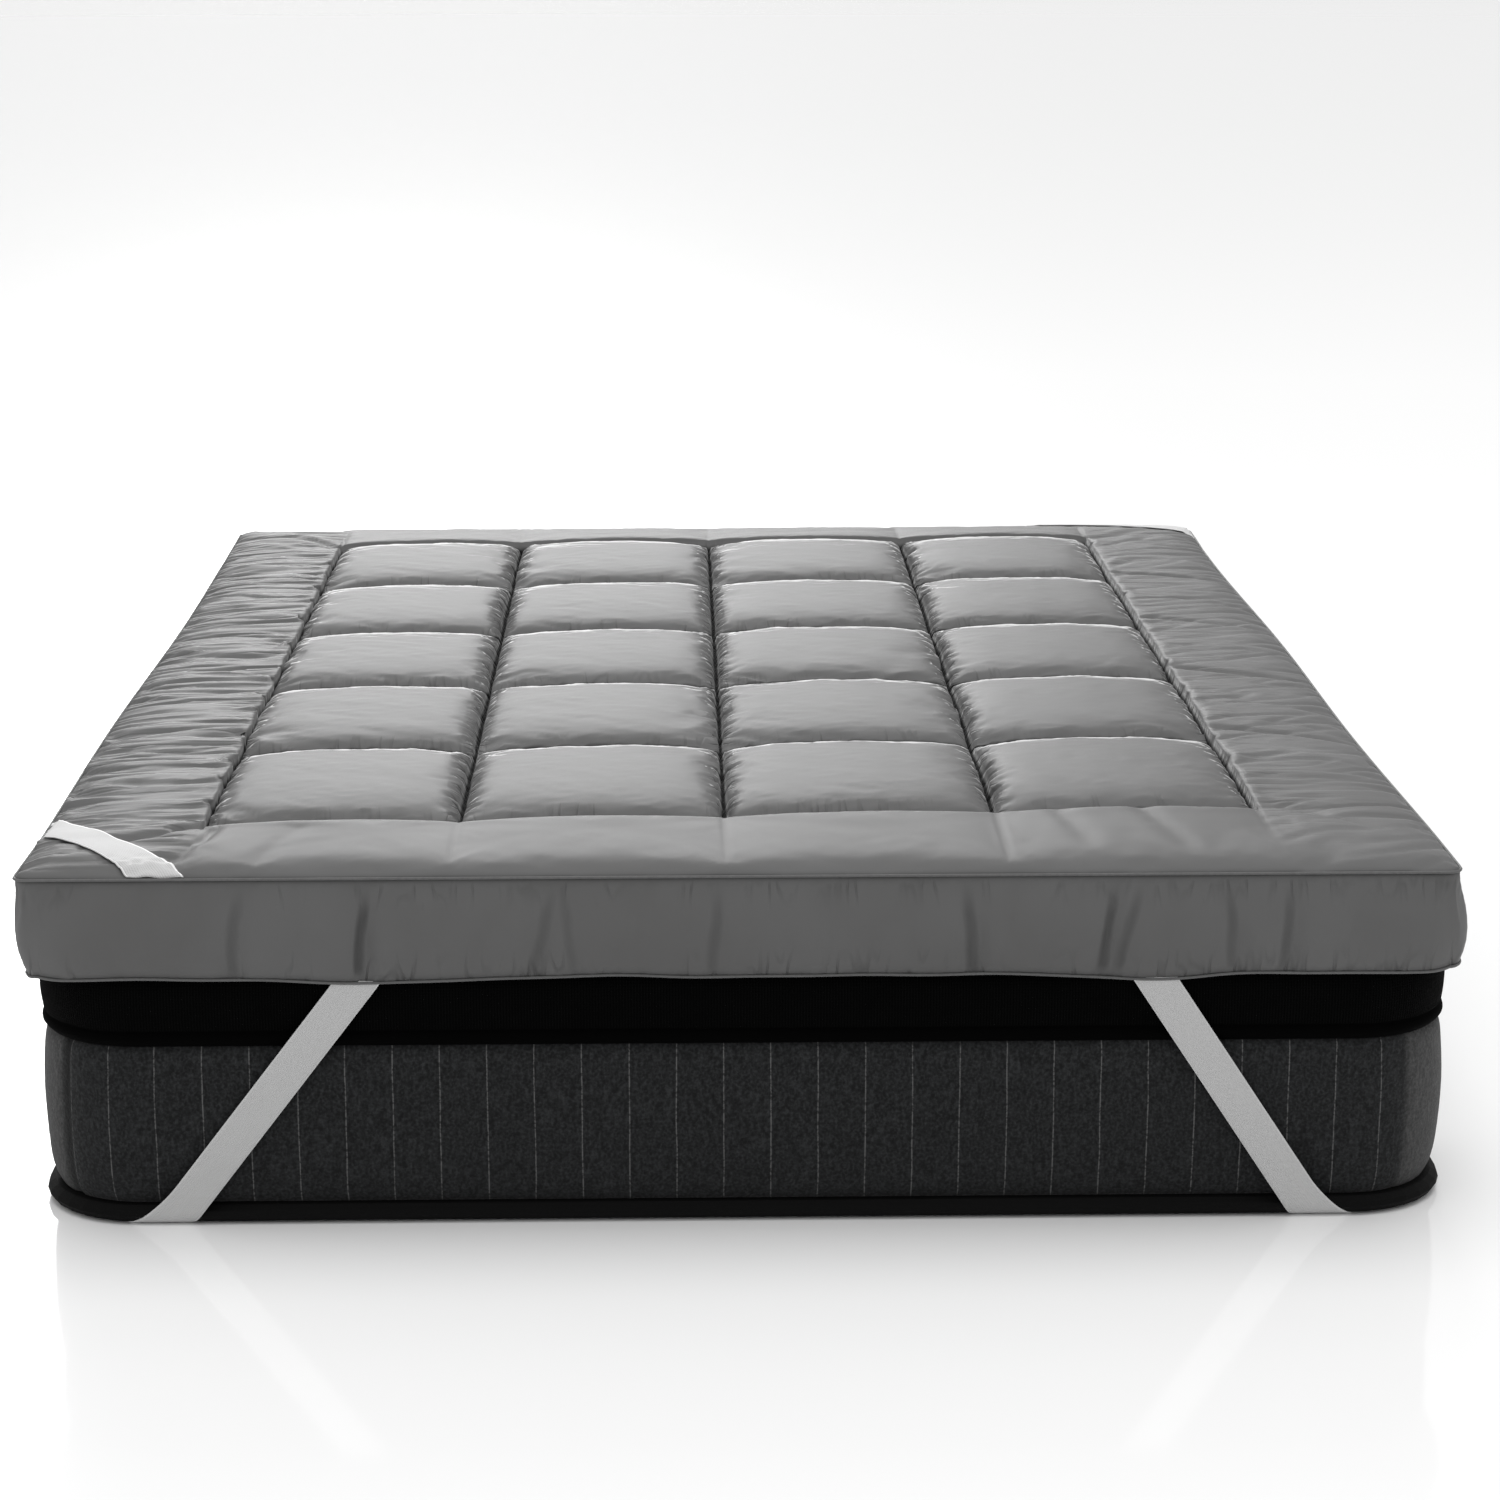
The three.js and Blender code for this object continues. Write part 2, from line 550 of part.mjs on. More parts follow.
addPiece('topper_pad', padGeometry(), MATERIALS.padCloth);
addPiece('welt_top', weltGeometry(TOP_SEAM), MATERIALS.weltCloth);
addPiece('welt_bottom', weltGeometry(BOTTOM_SEAM), MATERIALS.weltCloth);
STRAPS.forEach((strap) => {
  addPiece(strap.name, strapGeometry(strap, STRAP_FORM), MATERIALS.greyElastic);
});
BANDS.forEach((band) => addPiece(band.name, bandGeometry(band), MATERIALS.whiteElastic));
addPiece('mattress_top_band',
  layerGeometry(MATTRESS.width, MATTRESS.length, TOP_BAND_PROFILE), MATERIALS.blackMesh);
addPiece('mattress_border',
  layerGeometry(MATTRESS.width, MATTRESS.length, BORDER_PROFILE), MATERIALS.charcoalKnit);
addPiece('mattress_base', baseGeometry(), MATERIALS.blackMesh);

export default floorMattress;
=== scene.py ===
# %% [markdown]
# # A quilted floor mattress, strapped to a bed mattress
#
# The real thing is a boxed cushion: a microfibre top sewn down in twenty boxes inside a plain
# border, a boxing strip round the sides, and a piping in both seams. Elastic straps hold it on a
# dark bed mattress. The solids that fix every size are loaded first; each piece made below
# stands in their place, with the cloth, the puckers and the stitching that solids can't carry.

# %% Load the solids
import math
from collections import namedtuple

import bmesh
import bpy
import numpy as np
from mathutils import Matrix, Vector
from mathutils.bvhtree import BVHTree


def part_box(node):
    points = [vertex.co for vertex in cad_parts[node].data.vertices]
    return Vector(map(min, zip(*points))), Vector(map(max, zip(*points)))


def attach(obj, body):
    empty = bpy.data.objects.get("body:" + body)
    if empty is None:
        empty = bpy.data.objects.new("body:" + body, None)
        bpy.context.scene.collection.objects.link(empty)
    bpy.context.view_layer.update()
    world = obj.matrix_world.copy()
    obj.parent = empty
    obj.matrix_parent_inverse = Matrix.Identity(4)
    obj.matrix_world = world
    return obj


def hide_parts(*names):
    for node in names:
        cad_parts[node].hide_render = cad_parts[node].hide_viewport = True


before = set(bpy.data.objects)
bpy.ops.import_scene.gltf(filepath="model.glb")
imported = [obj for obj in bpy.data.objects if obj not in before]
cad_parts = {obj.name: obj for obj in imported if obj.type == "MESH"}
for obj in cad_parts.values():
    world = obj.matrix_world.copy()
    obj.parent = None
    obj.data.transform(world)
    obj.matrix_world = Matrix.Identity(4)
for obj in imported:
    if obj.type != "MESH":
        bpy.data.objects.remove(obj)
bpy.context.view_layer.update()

# %% [markdown]
# ## Camera
#
# A long lens from far away keeps the bed's far end nearly as wide as its near end; a short lens
# close by would do the opposite. The place, tilt and focal length follow from where the four
# corners of a pad of known size show in the picture, so they are kept as measured values.

# %% Camera
PICTURE = 1500
FOCAL_PIXELS = 3531.0
SENSOR = 36.0
CAMERA_PLACE = (-0.0674, -4.5137, 1.3738)
CAMERA_DOWN = math.radians(13.742)
CAMERA_TURN = math.radians(1.252)

lens = bpy.data.cameras.new("camera")
lens.sensor_fit = "HORIZONTAL"
lens.sensor_width = SENSOR
lens.lens = FOCAL_PIXELS / PICTURE * SENSOR
camera = bpy.data.objects.new("camera", lens)
camera.location = CAMERA_PLACE
camera.rotation_euler = (math.pi / 2 - CAMERA_DOWN, 0, -CAMERA_TURN)
bpy.context.scene.collection.objects.link(camera)
bpy.context.scene.camera = camera
print("lens", round(lens.lens, 1), "mm")

# %% [markdown]
# ## Shader arithmetic
#
# A material is a graph of nodes, and graphs are slow to read. A small class wraps one socket and
# overloads the arithmetic, so that a pattern is written as an expression and its Math nodes are
# added on the way. Everything else goes through one method that makes any node.

# %% Sockets that add and multiply
class Value:
    """A shader socket that can be added, multiplied and compared like a number."""

    def __init__(self, paint, socket):
        self.paint = paint
        self.socket = socket

    def math(self, operation, *others):
        sockets = dict(enumerate([self, *others]))
        return self.paint.node("ShaderNodeMath", {"operation": operation}, sockets)

    def __add__(self, other):
        return self.math("ADD", other)

    def __sub__(self, other):
        return self.math("SUBTRACT", other)

    def __mul__(self, other):
        return self.math("MULTIPLY", other)

    def __truediv__(self, other):
        return self.math("DIVIDE", other)

    def __rsub__(self, other):
        return self.paint.node("ShaderNodeMath", {"operation": "SUBTRACT"}, {0: other, 1: self})

    def __gt__(self, other):
        return self.math("GREATER_THAN", other)

    __radd__ = __add__
    __rmul__ = __mul__

    def __abs__(self):
        return self.math("ABSOLUTE")

    def sine(self):
        return self.math("SINE")

    def fraction(self):
        return self.math("FRACT")

    def smooth(self, low, high):
        """0 below low, 1 above high, and an S between them."""
        return self.paint.node(
            "ShaderNodeMapRange", {"interpolation_type": "SMOOTHSTEP"},
            {"Value": self, "From Min": low, "From Max": high})


class Paint:
    """A material and its Principled shader; constants are set straight on the shader's sockets."""

    def __init__(self, name, constants):
        self.material = bpy.data.materials.new(name)
        self.material.use_nodes = True
        self.tree = self.material.node_tree
        self.shader = self.tree.nodes["Principled BSDF"]
        for socket, value in constants.items():
            self.shader.inputs[socket].default_value = value

    def node(self, kind, settings, sockets, output=0):
        made = self.tree.nodes.new(kind)
        for key, value in settings.items():
            setattr(made, key, value)
        for key, value in sockets.items():
            self.join(value, made.inputs[key])
        return Value(self, made.outputs[output])

    def join(self, value, socket):
        if isinstance(value, Value):
            self.tree.links.new(value.socket, socket)
        else:
            socket.default_value = value

    def place(self):
        """The point in metres, in the object's own frame."""
        return self.node("ShaderNodeTexCoord", {}, {}, output="Object")

    def split(self, vector):
        """The x, y and z of a vector, as three values."""
        return [self.node("ShaderNodeSeparateXYZ", {}, {0: vector}, output=axis) for axis in range(3)]

    def cloth_map(self):
        """Two values in metres: across the cloth and along it."""
        return self.split(self.node("ShaderNodeUVMap", {"uv_map": "cloth"}, {}))[:2]

    def edge_on(self):
        """0 where the cloth faces the eye and 1 where it is seen edge on."""
        return self.node("ShaderNodeLayerWeight", {}, {"Blend": 0.5}, output="Facing")

    def painted(self, name):
        """A value that is stored on the mesh's points."""
        return self.node("ShaderNodeAttribute", {"attribute_name": name}, {}, output="Fac")

    def noise(self, size, detail=2.0, stretch=(1, 1, 1)):
        """Cloudy values around 0.5 whose lumps measure size metres."""
        scale = [axis / size for axis in stretch]
        place = self.node("ShaderNodeMapping", {}, {"Vector": self.place(), "Scale": scale})
        return self.node(
            "ShaderNodeTexNoise", {"noise_dimensions": "3D"},
            {"Vector": place, "Scale": 1.0, "Detail": detail, "Roughness": 0.55})

    def tint(self, mask, low, high):
        """The second colour laid over the first by the mask; each is a value or three numbers."""
        first, second = [colour if isinstance(colour, Value) else (*colour, 1) for colour in (low, high)]
        return self.node("ShaderNodeMix", {"data_type": "RGBA"}, {0: mask, 6: first, 7: second}, output=2)

    def finish(self, colour, roughness, height=None, distance=0.001):
        self.join(colour, self.shader.inputs["Base Color"])
        self.join(roughness, self.shader.inputs["Roughness"])
        if height is not None:
            bump = self.node(
                "ShaderNodeBump", {}, {"Height": height, "Strength": 1.0, "Distance": distance})
            self.join(bump, self.shader.inputs["Normal"])
        return self.material


def grey(level, warmth=0.0):
    """A grey of the given brightness; a negative warmth is bluish."""
    return (level * (1 + warmth), level, level * (1 - warmth))


# %% [markdown]
# ## Floor and light
#
# Two suns with wide discs light the bed; a near lamp would leave the far floor dark. One stands
# low behind the head end, so every box of the quilting is bright on top and darker towards the
# foot. The other stands overhead and whitens the floor almost up to the bed. The sky fills the
# end faces. The floor has a little gloss, for the faint mirror image of the straps.

# %% Floor, sky and suns
FLOOR_SIZE = 60.0
FLOOR_LEVEL = 0.94
FLOOR_ROUGHNESS = 0.08
FLOOR_SHINE = 0.28
SKY_LEVEL = 0.70
SUNS = {
    "low sun": {"strength": 1.08, "disc": 24, "from": (-0.08, 1.0, 0.36)},
    "high sun": {"strength": 1.45, "disc": 50, "from": (0.05, 0.08, 1.0)},
}


def make_floor():
    paint = Paint("floor", {"Specular IOR Level": FLOOR_SHINE})
    mesh = bpy.data.meshes.new("floor")
    bm = bmesh.new()
    bmesh.ops.create_grid(bm, x_segments=1, y_segments=1, size=FLOOR_SIZE)
    bm.to_mesh(mesh)
    bm.free()
    mesh.materials.append(paint.finish((*grey(FLOOR_LEVEL), 1), FLOOR_ROUGHNESS))
    floor = bpy.data.objects.new("floor", mesh)
    bpy.context.scene.collection.objects.link(floor)


make_floor()
sky = bpy.data.worlds.new("sky")
sky.use_nodes = True
background = sky.node_tree.nodes["Background"]
background.inputs["Color"].default_value = (1.0, 1.0, 1.0, 1.0)
background.inputs["Strength"].default_value = SKY_LEVEL
bpy.context.scene.world = sky
bpy.context.scene.view_settings.view_transform = "Standard"

for name, sun in SUNS.items():
    light = bpy.data.lights.new(name, "SUN")
    light.energy = sun["strength"]
    light.angle = math.radians(sun["disc"])
    lamp = bpy.data.objects.new(name, light)
    lamp.rotation_euler = Vector(sun["from"]).to_track_quat("Z", "Y").to_euler()
    bpy.context.scene.collection.objects.link(lamp)
print("suns:", ", ".join(SUNS))

# %% [markdown]
# ## Cloth finishes
#
# The pad is a brushed microfibre: smooth from a step away, with a grain under a millimetre and a
# painted highlight along the rim where a box turns away from the eye. Values painted on the mesh's
# points say where the cloth is sewn, gathered, puckered or tucked. The seams, the slopes that face
# the foot behind the row seams, and the creases are darkened with painted shade. Creases finer
# than the mesh are thin lines: places where cloudy noise crosses its middle value.

# %% Pad cloth and piping
PAD_SHADE = 0.128
# The near black that the pad's painted shade darkens towards.
PAINTED_SHADE_LEVEL = 0.08 * PAD_SHADE
# The colour of the painted highlight along the rims of the boxes.
RIM_HIGHLIGHT_LEVEL = 0.72
END_FACE = 0.985
DEEP_CREASE = 0.010
CREASE_MIDDLE = 0.33
# x at the boxing's middle, depth, spread and slant of each crease, seen from outside
END_CREASES = [
    (-0.523, 0.0050, 0.010, 0.10),
    (-0.392, 0.0100, 0.009, 0.03),
    (-0.203, 0.0045, 0.012, 0.22),
    (-0.180, 0.0035, 0.010, -0.12),
    (-0.027, 0.0045, 0.012, 0.05),
    (0.238, 0.0070, 0.010, -0.06),
    (0.384, 0.0095, 0.010, 0.16),
    (0.405, 0.0060, 0.008, 0.28),
    (0.509, 0.0055, 0.010, -0.10),
    (0.570, 0.0060, 0.009, 0.08),
]


def upright_creases(paint):
    """Thin creases down both end faces of the pad: 1 in the bottom of a deep one."""
    x, y, z = paint.split(paint.place())
    wander = (paint.noise(0.07, detail=1.0) - 0.5) * 0.014
    turned = x * (1 - (y > 0) * 2) + wander
    total = 0.0
    for middle, depth, spread, slant in END_CREASES:
        past = turned - (z - CREASE_MIDDLE) * slant - middle
        line = 1 - abs(past).smooth(0.0, 0.005 + 0.3 * spread)
        total = line * (depth / DEEP_CREASE) + total
    reach = z.smooth(0.268, 0.284) - z.smooth(0.335, 0.376)
    return total * reach * abs(y).smooth(END_FACE, END_FACE + 0.003)


def thin_lines(paint, size, detail, stretch, width):
    """Wandering lines where the noise crosses its middle value."""
    return 1 - abs(paint.noise(size, detail, stretch) - 0.5).smooth(0.0, width)


def pad_cloth():
    paint = Paint("pad_cloth", {"Specular IOR Level": 0.04, "Sheen Weight": 0.3, "Sheen Roughness": 0.12})
    clouds = paint.noise(0.21, detail=3.0)
    grain = paint.noise(0.0011, detail=1.0)
    # Painted shade: dark along the seam lines and on the slopes that face the foot behind the row seams.
    seams_and_shade = paint.painted("seams_and_shade").smooth(0.30, 0.78)
    puckered = paint.painted("puckered")
    gathers = thin_lines(paint, 0.026, 1.5, (0.09, 1.0, 0.3), 0.085) * paint.painted("gathered")
    fishbone = thin_lines(paint, 0.016, 0.0, (0.25, 1.0, 0.2), 0.065) * puckered
    tucks = thin_lines(paint, 0.020, 1.0, (1.0, 0.14, 0.25), 0.06) * paint.painted("tucked")
    upright = upright_creases(paint)
    cloth = paint.tint(clouds.smooth(0.3, 0.7), grey(PAD_SHADE * 0.95, 0.005), grey(PAD_SHADE * 1.05))
    # Painted shade: the gathers, fishbone puckers, tucks and upright creases darken the colour as well as
    # the bump.
    dark = seams_and_shade * 0.95 + gathers * 0.12 + fishbone * 0.55 + tucks * 0.25 + upright * 0.42
    shaded = paint.tint(dark, cloth, grey(PAINTED_SHADE_LEVEL))
    # Painted highlight: the box tops are lightened where they are seen edge on, for the light caught along
    # each rim.
    rim = paint.edge_on().smooth(0.865, 0.95) * paint.painted("boxed") * (1 - seams_and_shade) * (1 - puckered)
    colour = paint.tint(rim * 0.9, shaded, grey(RIM_HIGHLIGHT_LEVEL))
    height = grain * 0.05 - gathers - fishbone - tucks - upright * 1.4
    return paint.finish(colour, 0.42 + seams_and_shade * 0.5 + clouds * 0.04, height, distance=0.0022)


def welt_cloth():
    paint = Paint("welt_cloth", {"Specular IOR Level": 0.1})
    wrinkles = paint.noise(0.004, detail=2.0)
    colour = paint.tint(wrinkles, grey(PAD_SHADE * 0.85), grey(PAD_SHADE * 1.2))
    return paint.finish(colour, 0.52, wrinkles, distance=0.0004)


# %% [markdown]
# Elastic is woven with rubber threads along it, so it has fine ribs lengthways, a crosswise weft
# that shows as a faint ladder, and a firmer edge on both sides. A map across and along the
# ribbon, in metres, lets the pattern follow it round every fold.

# %% Elastic
STRAP_WIDTH = 0.040
BAND_WIDTH = 0.045
RIB_PITCH = 0.0021
WEFT_PITCH = 0.0016


def waves(distance, pitch):
    """A sine along a distance; both are in metres."""
    return (distance * (2 * math.pi / pitch)).sine()


def elastic(name, width, shade, edge_shade):
    paint = Paint(name, {"Sheen Weight": 0.08})
    across, along = paint.cloth_map()
    ribs = waves(across, RIB_PITCH)
    weft = waves(along, WEFT_PITCH)
    edge = abs(across).smooth(width / 2 - 0.0022, width / 2 - 0.0012)
    worn = paint.noise(0.05, detail=3.0)
    web = paint.tint(worn * 0.7 + ribs * 0.06, grey(shade * 0.98), grey(shade * 1.02))
    colour = paint.tint(edge, web, grey(edge_shade))
    height = ribs * 0.5 + weft * 0.25 + edge * 1.6
    return paint.finish(colour, 0.62 + worn * 0.1, height, distance=0.00025)


# %% [markdown]
# The bed mattress has three finishes: a ribbed black mesh, a charcoal knit with a thin light
# stripe every 50 mm, and a black woven tape. The knit is fuzzy, so it has a rough sheen and
# flecks, and its stripe is broken. Its end panels are striped and its side panels are plain, so
# the border carries a painted value for them. The side panels are also painted paler: painted
# light, for the light that their faces catch.

# %% Mattress finishes
STRIPE_PITCH = 0.0497
STRIPE_WIDTH = 0.0011
FIRST_STRIPE = -0.670
STRIPE_SHADE = 0.130
KNIT_SHADE = 0.0195
SIDE_PANEL_PAINTED_LIGHT = 0.060
CORNER_SEAM_SHADE = 0.006
MESH_PITCH = 0.0031


def charcoal_knit():
    paint = Paint("charcoal_knit", {"Sheen Weight": 0.1, "Sheen Roughness": 0.5, "Specular IOR Level": 0.1})
    across, _ = paint.cloth_map()
    fuzz = paint.noise(0.0032, detail=4.0)
    twill = paint.noise(0.004, stretch=(1.0, 1.0, 0.35))
    patches = paint.noise(0.09, detail=3.0)
    wander = paint.noise(0.06, detail=1.0) * 0.0022
    stripe_place = ((across + wander - FIRST_STRIPE) / STRIPE_PITCH + 0.5).fraction() - 0.5
    stripe = 1 - abs(stripe_place * STRIPE_PITCH).smooth(STRIPE_WIDTH * 0.35, STRIPE_WIDTH * 0.8)
    broken = fuzz.smooth(0.38, 0.55)
    flecks = fuzz.smooth(0.35, 0.75) * 0.7 + twill.smooth(0.4, 0.7) * 0.3
    knit = paint.tint(flecks, grey(KNIT_SHADE * 0.45, -0.03), grey(KNIT_SHADE * 1.9, -0.04))
    striped = paint.tint(stripe * (broken * 0.6 + 0.2), knit, grey(STRIPE_SHADE))
    # Painted light: the plain side panels are paler, for the light their faces catch.
    plain = paint.tint(flecks, grey(SIDE_PANEL_PAINTED_LIGHT * 0.65), grey(SIDE_PANEL_PAINTED_LIGHT * 1.45))
    panels = paint.tint(paint.painted("side_panel"), striped, plain)
    colour = paint.tint(paint.painted("seams_and_shade") * 0.8, panels, grey(CORNER_SEAM_SHADE))
    height = fuzz * 0.8 + twill * 0.4 + patches * 0.6 + stripe * 0.15
    return paint.finish(colour, 0.95, height, distance=0.0011)


def black_mesh():
    paint = Paint("black_mesh", {"Specular IOR Level": 0.04})
    across, up = paint.cloth_map()
    ribs = waves(across, MESH_PITCH)
    knots = waves(up, MESH_PITCH)
    ribbed = paint.painted("ribbed")
    dust = paint.noise(0.03, detail=3.0)
    colour = paint.tint(ribbed * (ribs * 0.4 + 0.3) * dust, grey(0.0006), grey(0.0050))
    return paint.finish(colour, 0.95, ribbed * (ribs + knots * 0.35), distance=0.0006)


def black_tape():
    paint = Paint("black_tape", {"Specular IOR Level": 0.1})
    weave = paint.noise(0.0016, detail=2.0)
    colour = paint.tint(weave, grey(0.001), grey(0.004))
    return paint.finish(colour, 0.7, weave, distance=0.0004)


FINISHES = {
    "pad_cloth": pad_cloth(),
    "welt_cloth": welt_cloth(),
    "grey_elastic": elastic("grey_elastic", STRAP_WIDTH, 0.53, 0.64),
    "white_elastic": elastic("white_elastic", BAND_WIDTH, 0.56, 0.93),
    "charcoal_knit": charcoal_knit(),
    "black_mesh": black_mesh(),
    "black_tape": black_tape(),
}
print("finishes:", ", ".join(FINISHES))

# %% [markdown]
# ## Sizes of the pad
#
# The sewing plan is the one of the solids, in metres: the lines of quilting, the way the rows
# run a little askew, and how far each part swells. Whatever is random below has its own fixed
# seed, so every run gives the same cloth.

# %% Sewing plan
HALF_WIDTH = 0.750
HALF_LENGTH = 1.000
COLUMN_SEAMS = [-0.575, -0.301, -0.014, 0.281, 0.567]
FRONT_SEAM = -0.815
ROW_PITCH = 0.330
ROWS = 5
ROW_SEAMS = [FRONT_SEAM + row * ROW_PITCH for row in range(ROWS + 1)]
FIELD_LEFT, FIELD_RIGHT = COLUMN_SEAMS[0], COLUMN_SEAMS[-1]
BACK_SEAM = ROW_SEAMS[-1]
ROW_SKEW = 0.045
REST_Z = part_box("topper_pad")[0].z
BOTTOM_SEAM_Z = REST_Z + 0.002
TOP_SEAM_Z = 0.380
BOX_CROWN = 0.023
BORDER_CROWN = 0.019
BORDER_LEAN = 0.5
CROWN_SHARPNESS = 2.6
BOX_SHARPNESS = 5.0
LIFT_ACROSS = 0.007
LIFT_ALONG = 0.004
LEAN = 0.007
TINY = 1e-6


def seam_lines(seams, counts, crowding):
    """Grid lines through a row of seams, a little denser beside each seam."""
    lines = [seams[0]]
    for start, end, count in zip(seams, seams[1:], counts):
        even = np.arange(1, count + 1) / count
        steps = (1 - crowding) * even + crowding * (0.5 - 0.5 * np.cos(math.pi * even))
        lines.extend(start + (end - start) * steps)
    return np.array(lines)


BORDER_CELLS, COLUMN_CELLS, ROW_CELLS = 28, 40, 60
LINES_X = seam_lines(
    [-HALF_WIDTH, *COLUMN_SEAMS, HALF_WIDTH],
    [BORDER_CELLS, *[COLUMN_CELLS] * (len(COLUMN_SEAMS) - 1), BORDER_CELLS], 0.35)
LINES_Y = seam_lines(
    [-HALF_LENGTH, *ROW_SEAMS, HALF_LENGTH],
    [BORDER_CELLS, *[ROW_CELLS] * ROWS, BORDER_CELLS], 0.2)
print("pad grid", len(LINES_X), "by", len(LINES_Y), "points")

# %% [markdown]
# The height of the top is worked out for all points at once: each box swells like a superellipse,
# full in the middle and steep at its seams, and the plain border swells between the quilting and
# the edge. Soft folds are pressed into the border where the filling shifts.

# %% Heights of the top
# start, end, depth and spread of each fold
BORDER_FOLDS = [
    ((-0.585, -0.818), (-0.700, -0.935), 0.006, 0.012),
    ((-0.560, -0.838), (-0.590, -0.965), 0.006, 0.011),
    ((-0.470, -0.850), (-0.500, -0.960), 0.003, 0.012),
    ((0.350, -0.830), (0.368, -0.930), 0.003, 0.012),
    ((0.440, -0.825), (0.470, -0.940), 0.004, 0.012),
    ((0.590, -0.800), (0.700, -0.900), 0.004, 0.014),
    ((0.585, -0.440), (0.735, -0.500), 0.007, 0.009),
    ((0.585, -0.110), (0.735, -0.170), 0.007, 0.009),
    ((0.585, 0.215), (0.735, 0.150), 0.006, 0.009),
    ((0.585, 0.540), (0.735, 0.500), 0.006, 0.009),
    ((0.585, 0.830), (0.720, 0.960), 0.005, 0.012),
    ((-0.585, 0.830), (-0.720, 0.960), 0.005, 0.012),
]


def bell(distance, spread):
    return np.exp(-(distance / spread) ** 2)


def box_place(value, seams):
    """How far across its box a place lies, 0 to 1, and held at the ends outside the boxes."""
    seams = np.array(seams)
    held = np.clip(value, seams[0], seams[-1])
    cell = np.clip(np.searchsorted(seams, held, side="right") - 1, 0, len(seams) - 2)
    return (held - seams[cell]) / (seams[cell + 1] - seams[cell])


def border_place(x, y):
    """How far out in the plain border a place lies: 0 at the quilting, 1 at the edge."""
    over_x = np.maximum(np.maximum(FIELD_LEFT - x, x - FIELD_RIGHT), 0)
    over_y = np.maximum(np.maximum(FRONT_SEAM - y, y - BACK_SEAM), 0)
    inner = np.hypot(over_x, over_y)
    outer = np.maximum(np.minimum(HALF_WIDTH - abs(x), HALF_LENGTH - abs(y)), 0)
    return inner / np.maximum(inner + outer, 1e-9)


def puff(t, sharpness=CROWN_SHARPNESS):
    return np.sqrt(np.maximum(0, 1 - abs(2 * t - 1) ** sharpness))


def seam_lift(t):
    return np.sin(math.pi * t) ** 0.6


def fold_depth(x, y, start, end, depth, spread):
    along = np.subtract(end, start)
    t = np.clip(((x - start[0]) * along[0] + (y - start[1]) * along[1]) / (along @ along), 0, 1)
    distance = np.hypot(x - start[0] - along[0] * t, y - start[1] - along[1] * t)
    return depth * bell(distance, spread) * (1 - 0.6 * t)


def lift_height(x, y):
    """Height of the quilting lines over the edge seam, carried across the boxes between them."""
    across = box_place(x, COLUMN_SEAMS)
    along = box_place(y, ROW_SEAMS)
    fade = (1 - border_place(x, y)) ** 2
    return (LIFT_ACROSS * seam_lift(across) + LIFT_ALONG * seam_lift(along)) * fade


def crown_height(x, y):
    """Height of the cloth over the quilting lines."""
    out = border_place(x, y)
    boxes = BOX_CROWN * puff(box_place(x, COLUMN_SEAMS), BOX_SHARPNESS) * puff(box_place(y, ROW_SEAMS))
    folds = sum(fold_depth(x, y, *fold) for fold in BORDER_FOLDS)
    return np.where(out > 0, np.maximum(0, BORDER_CROWN - folds) * puff(out ** BORDER_LEAN), boxes)


def plan_place(x, y):
    """Where a point of the sewing plan really lies: the rows skew, the side edges draw in."""
    in_field = np.clip((HALF_LENGTH - abs(y)) / (HALF_LENGTH - BACK_SEAM), 0, 1)
    skewed = y + ROW_SKEW * np.clip(x, FIELD_LEFT, FIELD_RIGHT) * in_field
    edge = np.clip((abs(x) - FIELD_RIGHT) / (HALF_WIDTH - FIELD_RIGHT), 0, 1)
    left = 0.006 * (y + HALF_LENGTH) / (2 * HALF_LENGTH) + 0.0025 * np.sin(y / 0.190)
    right = 0.0025 * np.sin(y / 0.170 + 1) - 0.0025
    drawn = np.where(x < 0, left, right) * np.clip((HALF_LENGTH - abs(y)) / 0.200, 0, 1)
    return x + drawn * edge, skewed


# %% [markdown]
# The boxing strip starts at the top seam and ends at the bottom seam. Seen from the end of the
# bed it has a few upright creases, is drawn down where the straps are sewn in, and puckers
# beside the seam. The corners are sharp at the top and rounder below.

# %% Shape of the boxing
LEVELS = 9
TOP_CORNER = 0.014
CORNER_GROWTH = 0.028
END_BULGE, END_DRAWN_IN = 0.0085, 0.002
SIDE_BULGE, SIDE_SPREAD = 0.009, 0.003
TUCK_DEPTH, GATHER_DEPTH = 0.0042, 0.0022
# x, depth and spread of each dip of the bottom seam
SEAM_DIPS = [(-0.399, 0.007, 0.075), (0.432, 0.006, 0.080)]


def ripples(distance, shortest, longest, count, seed):
    """A smooth random wave along one direction, around 0 and mostly between -1 and 1."""
    source = np.random.default_rng(seed)
    lengths = source.uniform(shortest, longest, count)
    phases = source.uniform(0, 2 * math.pi, count)
    sines = [np.sin(2 * math.pi * distance / wave + phase) for wave, phase in zip(lengths, phases)]
    return sum(sines) / math.sqrt(count)


def rounded(x, y, radius):
    """Pulls a rim point onto a rounded corner."""
    over_x = abs(x) - (HALF_WIDTH - radius)
    over_y = abs(y) - (HALF_LENGTH - radius)
    corner = (over_x > 0) & (over_y > 0)
    far = np.where(corner, np.hypot(over_x, over_y), 1)
    round_x = np.sign(x) * (HALF_WIDTH - radius + over_x * radius / far)
    round_y = np.sign(y) * (HALF_LENGTH - radius + over_y * radius / far)
    return np.where(corner, round_x, x), np.where(corner, round_y, y)


def at_end(y):
    return abs(y) > HALF_LENGTH - 0.001


